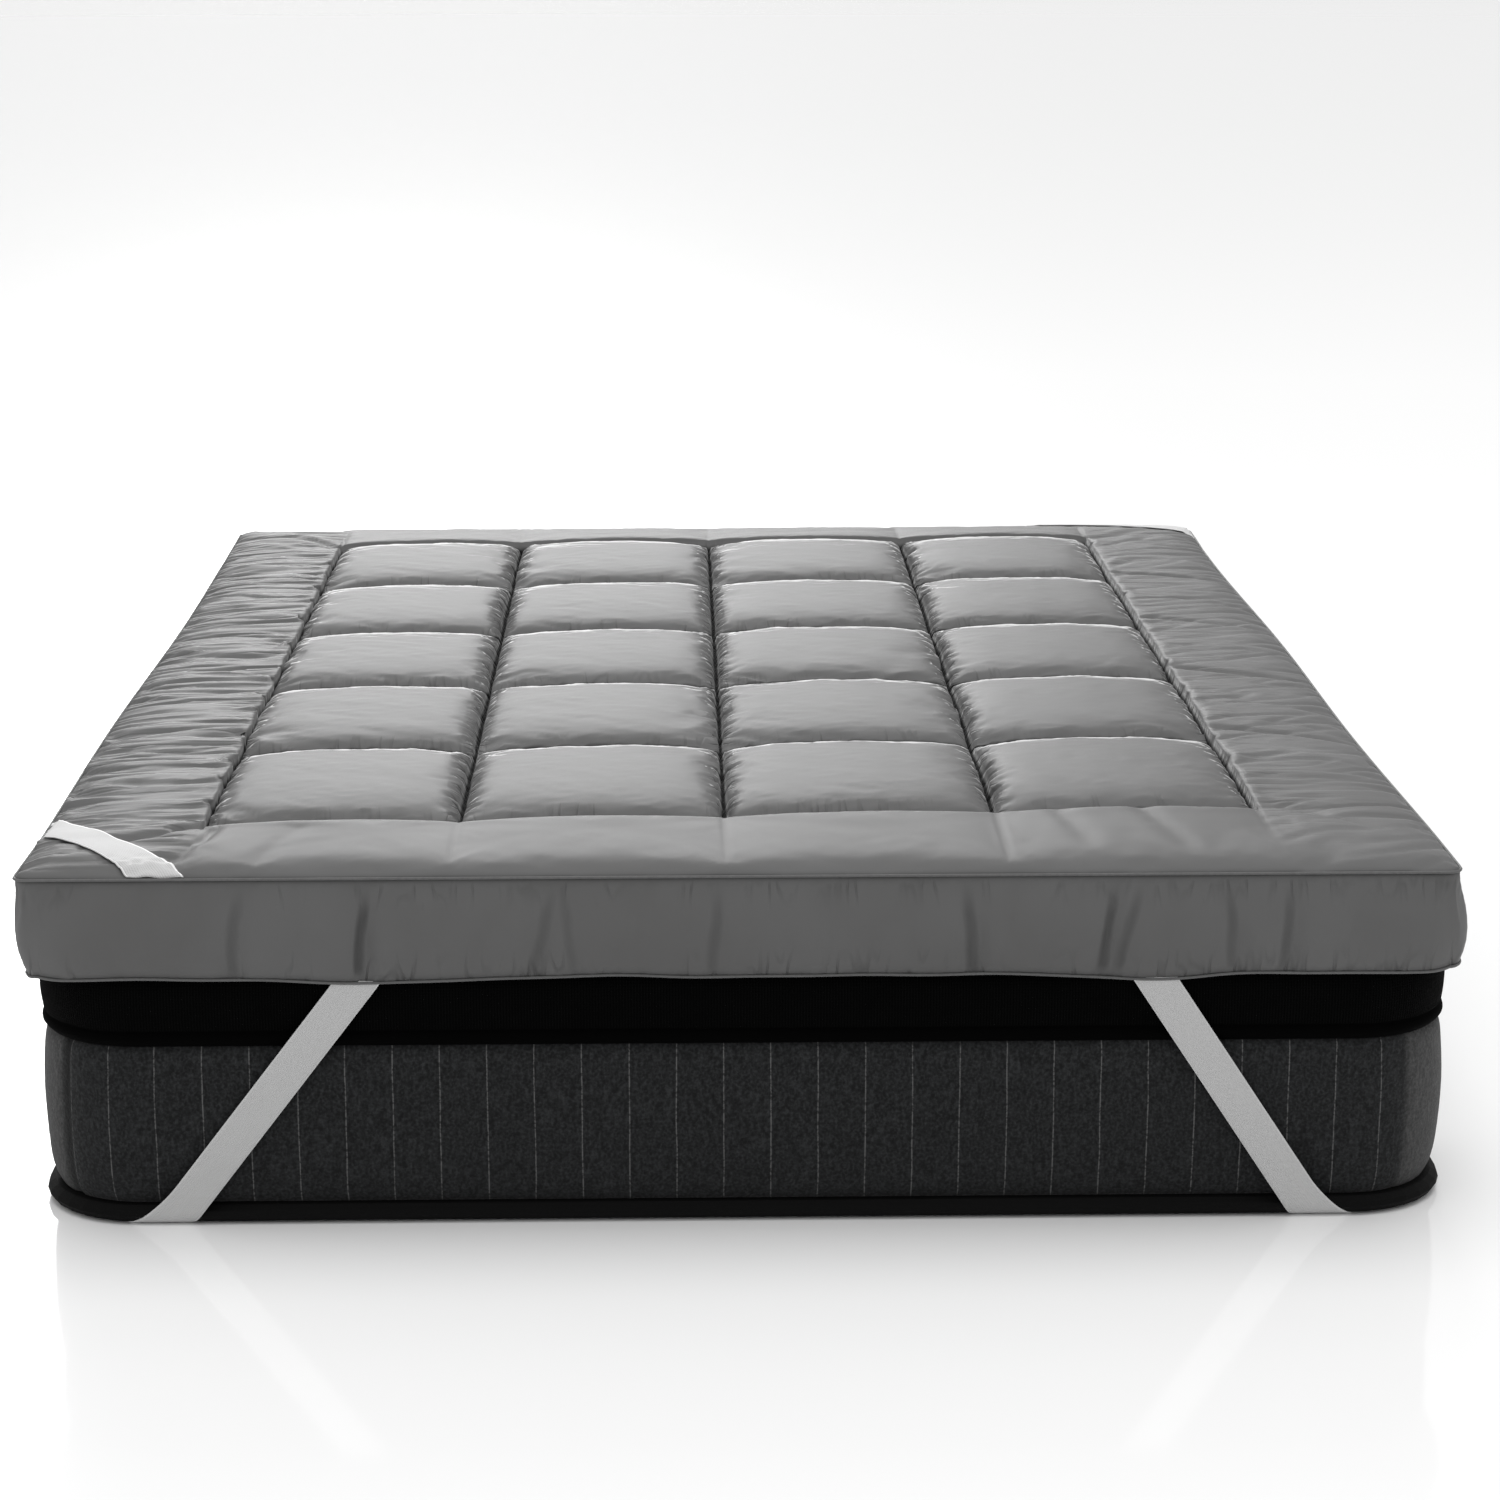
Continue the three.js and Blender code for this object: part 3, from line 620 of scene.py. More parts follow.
def crease_shape(x, y, down):
    """Depth of the upright creases, each with a raised lip beside it."""
    turned = np.where(y < 0, x, -x)
    height = TOP_SEAM_Z + (BOTTOM_SEAM_Z - TOP_SEAM_Z) * down
    total = 0
    for middle, depth, spread, slant in END_CREASES:
        past = turned - slant * (height - CREASE_MIDDLE) - middle
        total = total + depth * (bell(past, spread) - 0.35 * bell(past - 2.2 * spread, 1.6 * spread))
    return np.where(at_end(y), total, 0)


def bottom_seam_height(x, y):
    drop = sum(depth * bell(x - middle, spread) for middle, depth, spread in SEAM_DIPS)
    wave = 0.0009 * ripples(x + 3 * y, 0.11, 0.32, 5, 4)
    return BOTTOM_SEAM_Z - np.where(at_end(y), drop, 0) + wave


def boxing_place(x, y, down, further=0.0):
    """A point of the boxing: x and y say where on the rim, down goes from seam to seam."""
    out_x = np.where(abs(x) > HALF_WIDTH - TINY, np.sign(x), 0)
    out_y = np.where(abs(y) > HALF_LENGTH - TINY, np.sign(y), 0)
    radius = TOP_CORNER + CORNER_GROWTH * (1 - (1 - down) ** 2.5)
    round_x, round_y = rounded(x, y, radius)
    plan_x, plan_y = plan_place(round_x, round_y)
    away = np.where((out_x != 0) & (out_y != 0), math.sqrt(0.5), 1)
    end = END_BULGE * np.sin(math.pi * down ** 1.5) - END_DRAWN_IN * down
    side = SIDE_BULGE * np.sin(math.pi * down ** 1.6) + SIDE_SPREAD * down
    perimeter = np.where(out_x != 0, y, x) + 5 * out_x + 2 * out_y
    fade = np.sin(math.pi * np.clip(down, 0, 1)) ** 2
    held = np.sin(math.pi * np.clip(down, 0, 1) ** 2.2) ** 0.8
    tucks = np.maximum(0, ripples(perimeter, 0.045, 0.110, 5, 7) - 0.35)
    tucked = TUCK_DEPTH * tucks * down ** 6 * (1 - down ** 40)
    gathers = GATHER_DEPTH * ripples(perimeter, 0.03, 0.10, 6, 9) * np.where(out_x != 0, 1.0, 0.25) * fade
    crease = crease_shape(x, y, down) * held
    reach = -crease - tucked + gathers
    height = TOP_SEAM_Z + (bottom_seam_height(x, y) - TOP_SEAM_Z) * down
    return np.stack([
        plan_x + out_x * (side + further + reach) * away + LEAN * down,
        plan_y + out_y * (end + further + reach) * away,
        height,
    ], axis=-1)


# %% [markdown]
# ## Pad mesh
#
# One grid makes the top, with a line of points on every seam. Its open edge is extruded down
# nine times for the boxing. Whole-number layers remember each point's column, row and level, so
# the shape functions can place all of them, and the extrusion copies the layers by itself.

# %% Build the pad's cloth
def next_rim(bm, edges):
    """Extrudes an open rim; gives its new edges and their points."""
    made = bmesh.ops.extrude_edge_only(bm, edges=edges)["geom"]
    edges = [item for item in made if isinstance(item, bmesh.types.BMEdge) and item.is_boundary]
    return edges, {vert for edge in edges for vert in edge.verts}


def mesh_from(bm, name):
    mesh = bpy.data.meshes.new(name)
    bm.to_mesh(mesh)
    bm.free()
    return mesh


def cloth_mesh():
    bm = bmesh.new()
    columns = len(LINES_X) - 1
    rows = len(LINES_Y) - 1
    bmesh.ops.create_grid(bm, x_segments=columns, y_segments=rows, size=1.0)
    column_layer = bm.verts.layers.int.new("column")
    row_layer = bm.verts.layers.int.new("row")
    level_layer = bm.verts.layers.int.new("level")
    for vert in bm.verts:
        vert[column_layer] = round((vert.co.x + 1) / 2 * columns)
        vert[row_layer] = round((vert.co.y + 1) / 2 * rows)
    edges = [edge for edge in bm.edges if edge.is_boundary]
    for level in range(1, LEVELS + 1):
        edges, points = next_rim(bm, edges)
        for vert in points:
            vert[level_layer] = level
            vert.co.z = -level
    bmesh.ops.recalc_face_normals(bm, faces=bm.faces)
    return mesh_from(bm, "topper_pad_cloth")


def read(mesh, name):
    values = np.empty(len(mesh.vertices), np.int32)
    mesh.attributes[name].data.foreach_get("value", values)
    return values


def write(mesh, name, values):
    if name not in mesh.attributes:
        mesh.attributes.new(name, "FLOAT", "POINT")
    mesh.attributes[name].data.foreach_set("value", values.astype(np.float32))


def points_of(mesh):
    places = np.empty(len(mesh.vertices) * 3, np.float32)
    mesh.vertices.foreach_get("co", places)
    return places.reshape(-1, 3).astype(float)


def place_points(mesh, places):
    mesh.vertices.foreach_set("co", places.astype(np.float32).ravel())
    mesh.update()


pad_mesh = cloth_mesh()
column, row, level = (read(pad_mesh, name) for name in ("column", "row", "level"))
flat_x = LINES_X[column]
flat_y = LINES_Y[row]
on_rim = (abs(flat_x) > HALF_WIDTH - TINY) | (abs(flat_y) > HALF_LENGTH - TINY)
top = (level == 0) & ~on_rim
print("pad cloth", len(pad_mesh.vertices), "points,", int(top.sum()), "of them inside the top")

# %% [markdown]
# The start shape already has the boxy crowns. Spare cloth is then given to each region, as a
# share of its length: most beside the column seams, where the photo's puckers are, much in the
# left border, which is strongly gathered, and little elsewhere. When Blender's cloth solver lets
# it go, the spare length has nowhere to go but into puckers. Seeded ripples of 2 to 4 mm, and
# finer ones of a fraction of a millimetre in the boxes, decide where the folds start.

# %% Start shape and spare cloth
def gap(value, lines):
    """Distance to the nearest of some lines."""
    return np.min(abs(value[:, None] - np.array(lines)[None, :]), axis=1)


def near(value, lines, reach):
    """1 on a line and 0 at the reach and beyond."""
    return np.clip(1 - gap(value, lines) / reach, 0, 1)


def smooth_noise(x, y, wave_x, wave_y, count, seed):
    """A smooth random field with its own typical lengths across and along."""
    source = np.random.default_rng(seed)
    turns_x = source.normal(0, 1 / wave_x, count)
    turns_y = source.normal(0, 1 / wave_y, count)
    phases = source.uniform(0, 1, count)
    field = np.zeros_like(x)
    for turn_x, turn_y, phase in zip(turns_x, turns_y, phases):
        field += np.sin(2 * math.pi * (x * turn_x + y * turn_y + phase))
    return field / math.sqrt(count / 2)


in_columns = (flat_x >= FIELD_LEFT - TINY) & (flat_x <= FIELD_RIGHT + TINY)
in_rows = (flat_y >= FRONT_SEAM - TINY) & (flat_y <= BACK_SEAM + TINY)
on_column_seam = (gap(flat_x, COLUMN_SEAMS) < TINY) & in_rows
on_row_seam = (gap(flat_y, ROW_SEAMS) < TINY) & in_columns
quilted = (level == 0) & (on_column_seam | on_row_seam)
pinned = quilted | ((level == 0) & on_rim) | (level == LEVELS)

BORDER_FADE = 0.02
start = np.empty((len(pad_mesh.vertices), 3))
plan_x, plan_y = plan_place(flat_x, flat_y)
start[:, 0] = plan_x
start[:, 1] = plan_y
start[:, 2] = TOP_SEAM_Z + lift_height(flat_x, flat_y) + crown_height(flat_x, flat_y)
rim = ~top
start[rim] = boxing_place(flat_x[rim], flat_y[rim], level[rim] / LEVELS)

left_border = np.clip((FIELD_LEFT - flat_x) / BORDER_FADE, 0, 1) * (level == 0)
right_border = np.clip((flat_x - FIELD_RIGHT) / BORDER_FADE, 0, 1) * (level == 0)
end_border = ((flat_y < FRONT_SEAM) | (flat_y > BACK_SEAM)) & (level == 0)
field = (level == 0) & in_columns & in_rows

# %% Spare cloth by region
SPARE = {"left": 0.035, "right": 0.012, "end": 0.003, "box": 0.004, "column_seam": 0.060,
         "row_seam": 0.016, "boxing": 0.008}
MOST_SPARE = 0.12
SEAM_DEPTH = 0.0035
PUCKER_PITCH = 0.024
SEEDS = {"left": 0.0036, "right": 0.0022, "puckers": 0.0018, "fine": 0.0002}
beside_column = near(flat_x, COLUMN_SEAMS, 0.024)
beside_row = near(flat_y, ROW_SEAMS, 0.026)
spare = np.where(level > 0, SPARE["boxing"], 0.0)
spare += field * (SPARE["box"] + SPARE["column_seam"] * beside_column + SPARE["row_seam"] * beside_row)
away_from_ends = np.clip((HALF_LENGTH - abs(flat_y)) / 0.12, 0.2, 1)
spare = np.where(left_border > 0, SPARE["left"] * away_from_ends, spare)
spare = np.where(right_border > 0, SPARE["right"] * away_from_ends, spare)
spare = np.where(end_border & in_columns, SPARE["end"], spare)
patchy = 1 + 0.35 * smooth_noise(flat_x, flat_y, 0.16, 0.11, 30, 5)
spare = np.clip(spare * np.clip(patchy, 0.3, 1.7), 0, MOST_SPARE)

gather_line = smooth_noise(flat_x, flat_y, 0.42, 0.052, 40, 1)
slant_line = smooth_noise(flat_x, flat_y - 0.4 * flat_x, 0.30, 0.10, 40, 2)
pucker_shift = 0.35 * smooth_noise(flat_x, flat_y, 0.9, 0.06, 20, 6)
pucker_line = np.sin(2 * math.pi * (flat_y / PUCKER_PITCH + pucker_shift))
fine = smooth_noise(flat_x, flat_y, 0.018, 0.022, 60, 3)
seeding = -SEEDS["left"] * left_border * bell(gather_line, 0.55)
seeding -= SEEDS["right"] * right_border * bell(slant_line, 0.45)
seeding += SEEDS["puckers"] * field * pucker_line * beside_column
seeding += SEEDS["fine"] * fine * field
start[:, 2] += np.where(pinned, 0, seeding)
start[:, 2] -= np.where(quilted, SEAM_DEPTH, 0)
place_points(pad_mesh, start)
print("spare cloth up to", round(100 * spare.max(), 1), "percent")

# %% [markdown]
# ## Letting the cloth settle
#
# The seams and both rims are pinned, gravity is off, and a little air pressure stands for the
# filling. Eleven steps are enough. No point may end up more than 14 mm from where it started,
# and the tall middles are pressed down afterwards, since a filled box is flatter than a balloon.

# %% Cloth simulation
FRAMES = 11
MOST_MOVE = 0.014
PRESSURE = 0.7


def settle(mesh):
    cloth = bpy.data.objects.new("topper_pad", mesh)
    bpy.context.scene.collection.objects.link(cloth)
    groups = {"pinned": pinned.astype(float), "snug": 1 - spare / MOST_SPARE}
    for name, weights in groups.items():
        group = cloth.vertex_groups.new(name=name)
        for step in np.unique(np.round(weights, 2)):
            chosen = np.nonzero(np.round(weights, 2) == step)[0].tolist()
            group.add(chosen, float(step), "REPLACE")
    solver = cloth.modifiers.new("settle", "CLOTH")
    rules = solver.settings
    rules.quality = 3
    rules.mass = 0.15
    rules.air_damping = 3.0
    rules.tension_stiffness = rules.compression_stiffness = 12.0
    rules.shear_stiffness = 3.0
    rules.bending_stiffness = 0.006
    rules.bending_damping = 0.5
    rules.vertex_group_mass = "pinned"
    rules.vertex_group_shrink = "snug"
    rules.shrink_max = 0.0
    rules.shrink_min = -MOST_SPARE
    rules.use_pressure = True
    rules.uniform_pressure_force = PRESSURE
    rules.effector_weights.gravity = 0.0
    solver.collision_settings.use_collision = False
    solver.collision_settings.use_self_collision = False
    solver.point_cache.frame_start = 1
    solver.point_cache.frame_end = FRAMES
    for moment in range(1, FRAMES + 1):
        bpy.context.scene.frame_set(moment)
    bpy.context.view_layer.objects.active = cloth
    bpy.ops.object.modifier_apply(modifier=solver.name)
    bpy.context.scene.frame_set(1)
    cloth.vertex_groups.clear()
    return cloth, points_of(cloth.data)


topper_pad, settled = settle(pad_mesh)
pad_mesh = topper_pad.data
moved = settled - start
distance = np.linalg.norm(moved, axis=1)
settled = start + moved * np.minimum(1, MOST_MOVE / np.maximum(distance, 1e-9))[:, None]
print("cloth moved up to", round(1000 * distance.max(), 1), "mm, capped at", 1000 * MOST_MOVE)

# %% [markdown]
# The pressing works on the grid: the height over the quilting is blurred to find how tall each
# place is, and every point is scaled by what its neighbourhood is too tall. Puckers beside the
# seams keep their size that way.

# %% Press the crowns
BOX_LIMIT = 0.027
BORDER_LIMIT = 0.023
BLUR_PASSES = 24
MOST_STRETCH = 1.15


def blur(grid, passes):
    for _ in range(passes):
        padded = np.pad(grid, 1, mode="edge")
        grid = (padded[:-2, 1:-1] + padded[2:, 1:-1] + padded[1:-1, :-2] + padded[1:-1, 2:]
                + 4 * padded[1:-1, 1:-1]) / 8
    return grid


def pressed(places):
    flat = level == 0
    base = TOP_SEAM_Z + lift_height(flat_x, flat_y)
    height = np.zeros((len(LINES_Y), len(LINES_X)))
    height[row[flat], column[flat]] = (places[:, 2] - base)[flat]
    tall = np.maximum(blur(height, BLUR_PASSES), 1e-5)
    limit = np.where(field, BOX_LIMIT, BORDER_LIMIT)
    tall_here = tall[row, column]
    share = limit * (1 - np.exp(-1.25 * tall_here / limit)) / tall_here
    free = top & ~quilted
    result = places.copy()
    result[free, 2] = (base + (places[:, 2] - base) * np.minimum(share, MOST_STRETCH))[free]
    return result


settled = pressed(settled)
place_points(pad_mesh, settled)
print("pad now", round(1000 * (settled[:, 2].max() - REST_Z), 1), "mm tall")


# %% [markdown]
# The underside is turned in below the bottom seam and closed with one flat face, which rests on
# the bed mattress. Then the points are painted for the pad's finish: painted shade on the seams,
# fading within a few millimetres and reaching further up the slopes that face the foot, a line of
# painted shade under the top piping, the gathers of the side borders, the puckers beside the
# column seams and the tucks beside the other seams.

# %% Close the underside
TURN_IN = 0.024
NEAR_CORNER = 0.05


def close_underside(mesh):
    bm = bmesh.new()
    bm.from_mesh(mesh)
    edges, points = next_rim(bm, [edge for edge in bm.edges if edge.is_boundary])
    for vert in points:
        inward = Vector((math.copysign(1, vert.co.x), math.copysign(1, vert.co.y), 0))
        from_side = HALF_WIDTH - abs(vert.co.x)
        from_end = HALF_LENGTH - abs(vert.co.y)
        if max(from_side, from_end) >= NEAR_CORNER:
            inward[1 if abs(from_side) < abs(from_end) else 0] = 0
        vert.co -= inward * TURN_IN
        vert.co.z = REST_Z
    bmesh.ops.contextual_create(bm, geom=edges)
    bmesh.ops.recalc_face_normals(bm, faces=bm.faces)
    for face in bm.faces:
        face.smooth = len(face.verts) <= 4
    bm.to_mesh(mesh)
    bm.free()


# %% Paint the seams and finish the pad
# How far the painted shade reaches from a seam, and up the slope behind a row seam.
SEAM_SHADE_REACH = 0.0045
SLOPE_SHADE_REACH = 0.015
PUCKER_REACH = 0.016
TUCK_REACH = 0.035
TUCK_SHARE = 0.3

seam_distance = np.minimum(
    np.where(in_rows, gap(flat_x, COLUMN_SEAMS), 1),
    np.where(in_columns, gap(flat_y, ROW_SEAMS), 1))
past_rows = np.subtract.outer(flat_y, ROW_SEAMS) + TINY
beyond = np.min(np.where(past_rows >= 0, past_rows, 1), axis=1)
# Painted shade along the seam lines, fading within a few millimetres.
seams_and_shade = np.clip(1 - seam_distance / SEAM_SHADE_REACH, 0, 1) * (level == 0)
# Painted shade on the slope that faces the foot, just behind each row seam.
seams_and_shade = np.maximum(seams_and_shade, 0.95 * field * np.clip(1 - beyond / SLOPE_SHADE_REACH, 0, 1))
# A line of painted shade round the top edge of the boxing, under the piping.
seams_and_shade = np.maximum(seams_and_shade, 0.6 * (level == 0) * on_rim)
out = border_place(flat_x, flat_y)
gathered = left_border * away_from_ends * (0.22 + 0.38 * abs(2 * out - 1) ** 1.5)
gathered += right_border * 0.30 * (1 - out) ** 2
patches = np.clip(0.5 + 0.9 * smooth_noise(flat_x, flat_y, 0.11, 0.3, 30, 8), 0, 1)
down = level / LEVELS
by_seams = np.clip(1 - down / TUCK_SHARE, 0, 1) + np.clip(1 - (1 - down) / TUCK_SHARE, 0, 1)
by_rows = 0.6 * field * np.clip(1 - beyond / TUCK_REACH, 0, 1)
paints = {
    "seams_and_shade": seams_and_shade, "gathered": gathered, "tucked": patches * np.where(level > 0, 0.8 * by_seams, by_rows),
    "boxed": field, "puckered": field * near(flat_x, COLUMN_SEAMS, PUCKER_REACH)}
for name, values in paints.items():
    write(pad_mesh, name, values)
close_underside(pad_mesh)
for name in ("column", "row", "level"):
    pad_mesh.attributes.remove(pad_mesh.attributes[name])
pad_mesh.materials.append(FINISHES["pad_cloth"])
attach(topper_pad, "root")
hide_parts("topper_pad")
print("pad", len(pad_mesh.polygons), "faces")

# %% [markdown]
# ## Piping
#
# A thin cord, wrapped in the pad's cloth, is caught in the top seam and in the bottom one. A closed
# curve with a round section makes it. It follows the same rim as the boxing, so it dips with the
# seam at the straps, and it is turned into a mesh once it is made.

# %% Piping in both seams
PIPING_RADIUS = 0.0016
PIPING_OUT = 0.0009


def rim_loop():
    """The grid lines' places all round the rim, anticlockwise from the front left corner."""
    last_x, last_y = LINES_X[-1], LINES_Y[-1]
    front = [(x, -last_y) for x in LINES_X[:-1]]
    right = [(last_x, y) for y in LINES_Y[:-1]]
    back = [(x, last_y) for x in LINES_X[:0:-1]]
    left = [(-last_x, y) for y in LINES_Y[:0:-1]]
    return np.array(front + right + back + left)


def closed_cord(name, places, radius):
    """A mesh cord through a loop of points."""
    line = bpy.data.curves.new(name, "CURVE")
    line.dimensions = "3D"
    line.bevel_depth = radius
    line.bevel_resolution = 1
    spline = line.splines.new("POLY")
    spline.points.add(len(places) - 1)
    spline.points.foreach_set("co", np.column_stack([places, np.ones(len(places))]).ravel())
    spline.use_cyclic_u = True
    holder = bpy.data.objects.new(name, line)
    bpy.context.scene.collection.objects.link(holder)
    bpy.context.view_layer.update()
    shape = holder.evaluated_get(bpy.context.evaluated_depsgraph_get())
    mesh = bpy.data.meshes.new_from_object(shape)
    bpy.data.objects.remove(holder)
    bpy.data.curves.remove(line)
    for face in mesh.polygons:
        face.use_smooth = True
    return mesh


def show(name, mesh, slot):
    """Puts a mesh in the scene as the piece that stands for the solid of that name."""
    mesh.name = name
    mesh.materials.clear()
    mesh.materials.append(FINISHES[slot])
    piece = bpy.data.objects.new(name, mesh)
    bpy.context.scene.collection.objects.link(piece)
    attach(piece, "root")
    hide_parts(name)
    return piece


rim_x, rim_y = rim_loop().T
for name, down in (("welt_top", 0.0), ("welt_bottom", 1.0)):
    places = boxing_place(rim_x, rim_y, np.full(len(rim_x), down), PIPING_OUT)
    welt = show(name, closed_cord(name, places, PIPING_RADIUS), "welt_cloth")
    print(name, len(welt.data.polygons), "faces")

# %% [markdown]
# ## Elastic straps
#
# Each strap is a flat ribbon, sewn into the bottom seam at one end of the bed, drawn down its
# face, round the bottom edge, straight across under the corner and up the side. It never twists,
# so unfolded it is one straight strip; its width is laid level on the end face and upright on the
# side face. Its top is tucked in under the pad, and its outer edge flares a little where it turns
# under the bed. Solidify gives it the thickness of the web.

# %% Straps under the corners
STRAP_THICKNESS = 0.0016
STRAP_WRAP = 0.0125
STAND_OFF = 0.0005
SEWN_AT = 0.2715
MEASURED_AT = 0.268
TUCK_FROM = 0.2645
TUCK_SLOPE = 0.55
STRAP_FLARE = 0.016
FLARE_ABOVE, FLARE_LENGTH = 0.030, 0.045
SLACK = 0.0003
FACE_STEPS, ARC_STEPS, UNDER_STEPS, STRAP_ACROSS = 50, 8, 16, 12
base_low, base_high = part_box("mattress_base")
MATTRESS_MIDDLE = (base_low.x + base_high.x) / 2
# the strap's side and end of the bed, x where it leaves the pad, and its run across per run down
STRAPS = {
    "strap_front_left": (-1, -1, 0.406, 0.762),
    "strap_front_right": (1, -1, 0.425, 0.659),
    "strap_back_left": (-1, 1, 0.406, 0.762),
    "strap_back_right": (1, 1, 0.425, 0.659),
}


def ribbon(name, rows, width, thickness, slot):
    """A sheet from rows of points that run across it; its map is in metres, across and along."""
    count_along, count_across = rows.shape[:2]
    middle = rows[:, count_across // 2]
    run = np.concatenate([[0], np.cumsum(np.linalg.norm(np.diff(middle, axis=0), axis=1))])
    bm = bmesh.new()
    bmesh.ops.create_grid(bm, x_segments=count_across - 1, y_segments=count_along - 1, size=1.0)
    cloth_map = bm.loops.layers.uv.new("cloth")
    for vert in bm.verts:
        across = round((vert.co.x + 1) / 2 * (count_across - 1))
        along = round((vert.co.y + 1) / 2 * (count_along - 1))
        for loop in vert.link_loops:
            loop[cloth_map].uv = (width * (across / (count_across - 1) - 0.5), run[along])
        vert.co = rows[along, across]
    for face in bm.faces:
        face.smooth = True
    piece = show(name, mesh_from(bm, name), slot)
    web = piece.modifiers.new("web", "SOLIDIFY")
    web.thickness = thickness
    web.offset = 0
    return piece, run[-1]


def points_at(x, y, z):
    """A row of points; a single number holds for all of them."""
    return np.stack(np.broadcast_arrays(x, y, z), axis=-1)


def strap_rows(sign_x, sign_y, top_x, slope):
    """Rows of points across the strap, from the seam at the end round to the seam at the side."""
    surface = STRAP_THICKNESS / 2
    reach = STRAP_WRAP + surface
    fold_x = (base_high.x - base_low.x) / 2 + STAND_OFF - STRAP_WRAP
    fold_y = base_high.y + STAND_OFF - STRAP_WRAP
    fold_z = STRAP_THICKNESS + SLACK + STRAP_WRAP
    arc = math.pi / 2 * reach
    drop = SEWN_AT - fold_z
    edges = np.linspace(-1, 1, STRAP_ACROSS + 1)
    level_x = top_x - slope * (SEWN_AT - MEASURED_AT) + edges * STRAP_WIDTH / 2 * math.hypot(1, slope)

    def level_row(down):
        flare = STRAP_FLARE * np.clip((down - drop + FLARE_ABOVE) / FLARE_LENGTH, 0, 1) ** 2
        x = level_x + slope * down + flare * np.maximum(0, edges)
        if down <= drop:
            return points_at(x, -(fold_y + reach), SEWN_AT - down)
        angle = (down - drop) / reach
        return points_at(x, -(fold_y + reach * math.cos(angle)), fold_z - reach * math.sin(angle))

    def side_row(past):
        y = -fold_y + (fold_x - level_x) / slope - drop - arc + past / slope
        if past > arc:
            return points_at(fold_x + reach, y, fold_z + past - arc)
        angle = past / reach
        return points_at(fold_x + reach * math.sin(angle), y, fold_z - reach * math.cos(angle))

    last, first = level_row(drop + arc), side_row(0.0)
    rise = SEWN_AT + 0.003 - fold_z
    rows = [level_row(down) for down in np.linspace(0, drop, FACE_STEPS)]
    rows += [level_row(drop + arc * step / ARC_STEPS) for step in range(1, ARC_STEPS + 1)]
    rows += [last + (first - last) * step / UNDER_STEPS for step in range(1, UNDER_STEPS)]
    rows += [side_row(arc * step / ARC_STEPS) for step in range(ARC_STEPS + 1)]
    rows += [side_row(arc + up) for up in np.linspace(0, rise, FACE_STEPS)[1:]]
    rows = np.array(rows)
    rows[:FACE_STEPS, :, 1] += np.clip((rows[:FACE_STEPS, :, 2] - TUCK_FROM) * TUCK_SLOPE, 0, 1)
    return rows * (sign_x, -sign_y, 1) + (MATTRESS_MIDDLE, 0, 0)


for name, strap in STRAPS.items():
    piece, length = ribbon(name, strap_rows(*strap), STRAP_WIDTH, STRAP_THICKNESS, "grey_elastic")
    print(name, round(length, 3), "m long")

# %% [markdown]
# ## Bands over two corners
#
# A short white elastic band crosses the front left corner of the pad, and another one the back
# right corner. Both ends are caught in the top seam. The band lies on the swollen border but is
# too taut to follow its puckers, so rays find the cloth's height around each point, and the
# heights are blurred. Both ends go down to the seam, and the one at the bed's end is crumpled.

# %% Corner bands
# two corners at the pad's side, then the two at its end
BANDS = {
    "corner_band_front_left": [(-0.750, -0.753), (-0.750, -0.830), (-0.574, -1.000), (-0.633, -1.000)],
    "corner_band_back_right": [(0.750, 0.908), (0.750, 0.960), (0.470, 1.000), (0.610, 1.000)],
}
BAND_THICKNESS = 0.0012
BAND_LIFT = 0.0022
BAND_STEPS, BAND_ACROSS = 72, 14
TAUT_SHARE, TAUT_PASSES = 0.75, 40
INSIDE_RIM = 0.001
FEELER = 0.007


def height_finder(mesh, reach):
    """A function that gives the cloth's height around a place, a little smoothed."""
    cloth = bmesh.new()
    cloth.from_mesh(mesh)
    tree = BVHTree.FromBMesh(cloth)
    cloth.free()
    offsets = [(dx, dy) for dx in (-reach, 0, reach) for dy in (-reach, 0, reach)]

    def height(x, y):
        hits = [tree.ray_cast(Vector((x + dx, y + dy, 1)), Vector((0, 0, -1)))[0] for dx, dy in offsets]
        heights = [max(hit.z, TOP_SEAM_Z) if hit else TOP_SEAM_Z for hit in hits]
        return 0.4 * max(heights) + 0.6 * sum(heights) / len(heights)

    return height


def band_rows(height, side_near, side_far, end_near, end_far):
    """Rows of points across the band, from the pad's side to its end."""
    t, u = np.meshgrid(
        np.linspace(0, 1, BAND_STEPS + 1), np.linspace(0, 1, BAND_ACROSS + 1), indexing="ij")
    near_edge = np.multiply.outer(1 - t, side_near) + np.multiply.outer(t, end_near)
    far_edge = np.multiply.outer(1 - t, side_far) + np.multiply.outer(t, end_far)
    plan = near_edge * (1 - u)[..., None] + far_edge * u[..., None]
    x = np.clip(plan[..., 0], INSIDE_RIM - HALF_WIDTH, HALF_WIDTH - INSIDE_RIM)
    y = np.clip(plan[..., 1], INSIDE_RIM - HALF_LENGTH, HALF_LENGTH - INSIDE_RIM)
    x, y = plan_place(x, y)
    z = np.array([[height(*place) for place in zip(*line)] for line in zip(x, y)])
    from_seam = np.minimum(t, 1 - t)
    taut = TAUT_SHARE * np.clip(from_seam / 0.14, 0, 1)
    z = (1 - taut) * z + taut * blur(z, TAUT_PASSES)
    seam_z = TOP_SEAM_Z - 0.001
    z = seam_z + (z - seam_z) * np.clip(from_seam / 0.07, 0, 1) ** 0.7
    crumple = bell(1 - t - 0.06, 0.11)
    folds = 0.0009 * (np.sin(t * 97 + 2.2 * np.sin(u * 5.1)) + np.sin(u * 14.0 + t * 31))
    return np.stack([x, y, z + BAND_LIFT + crumple * (folds + 0.0012)], axis=-1)


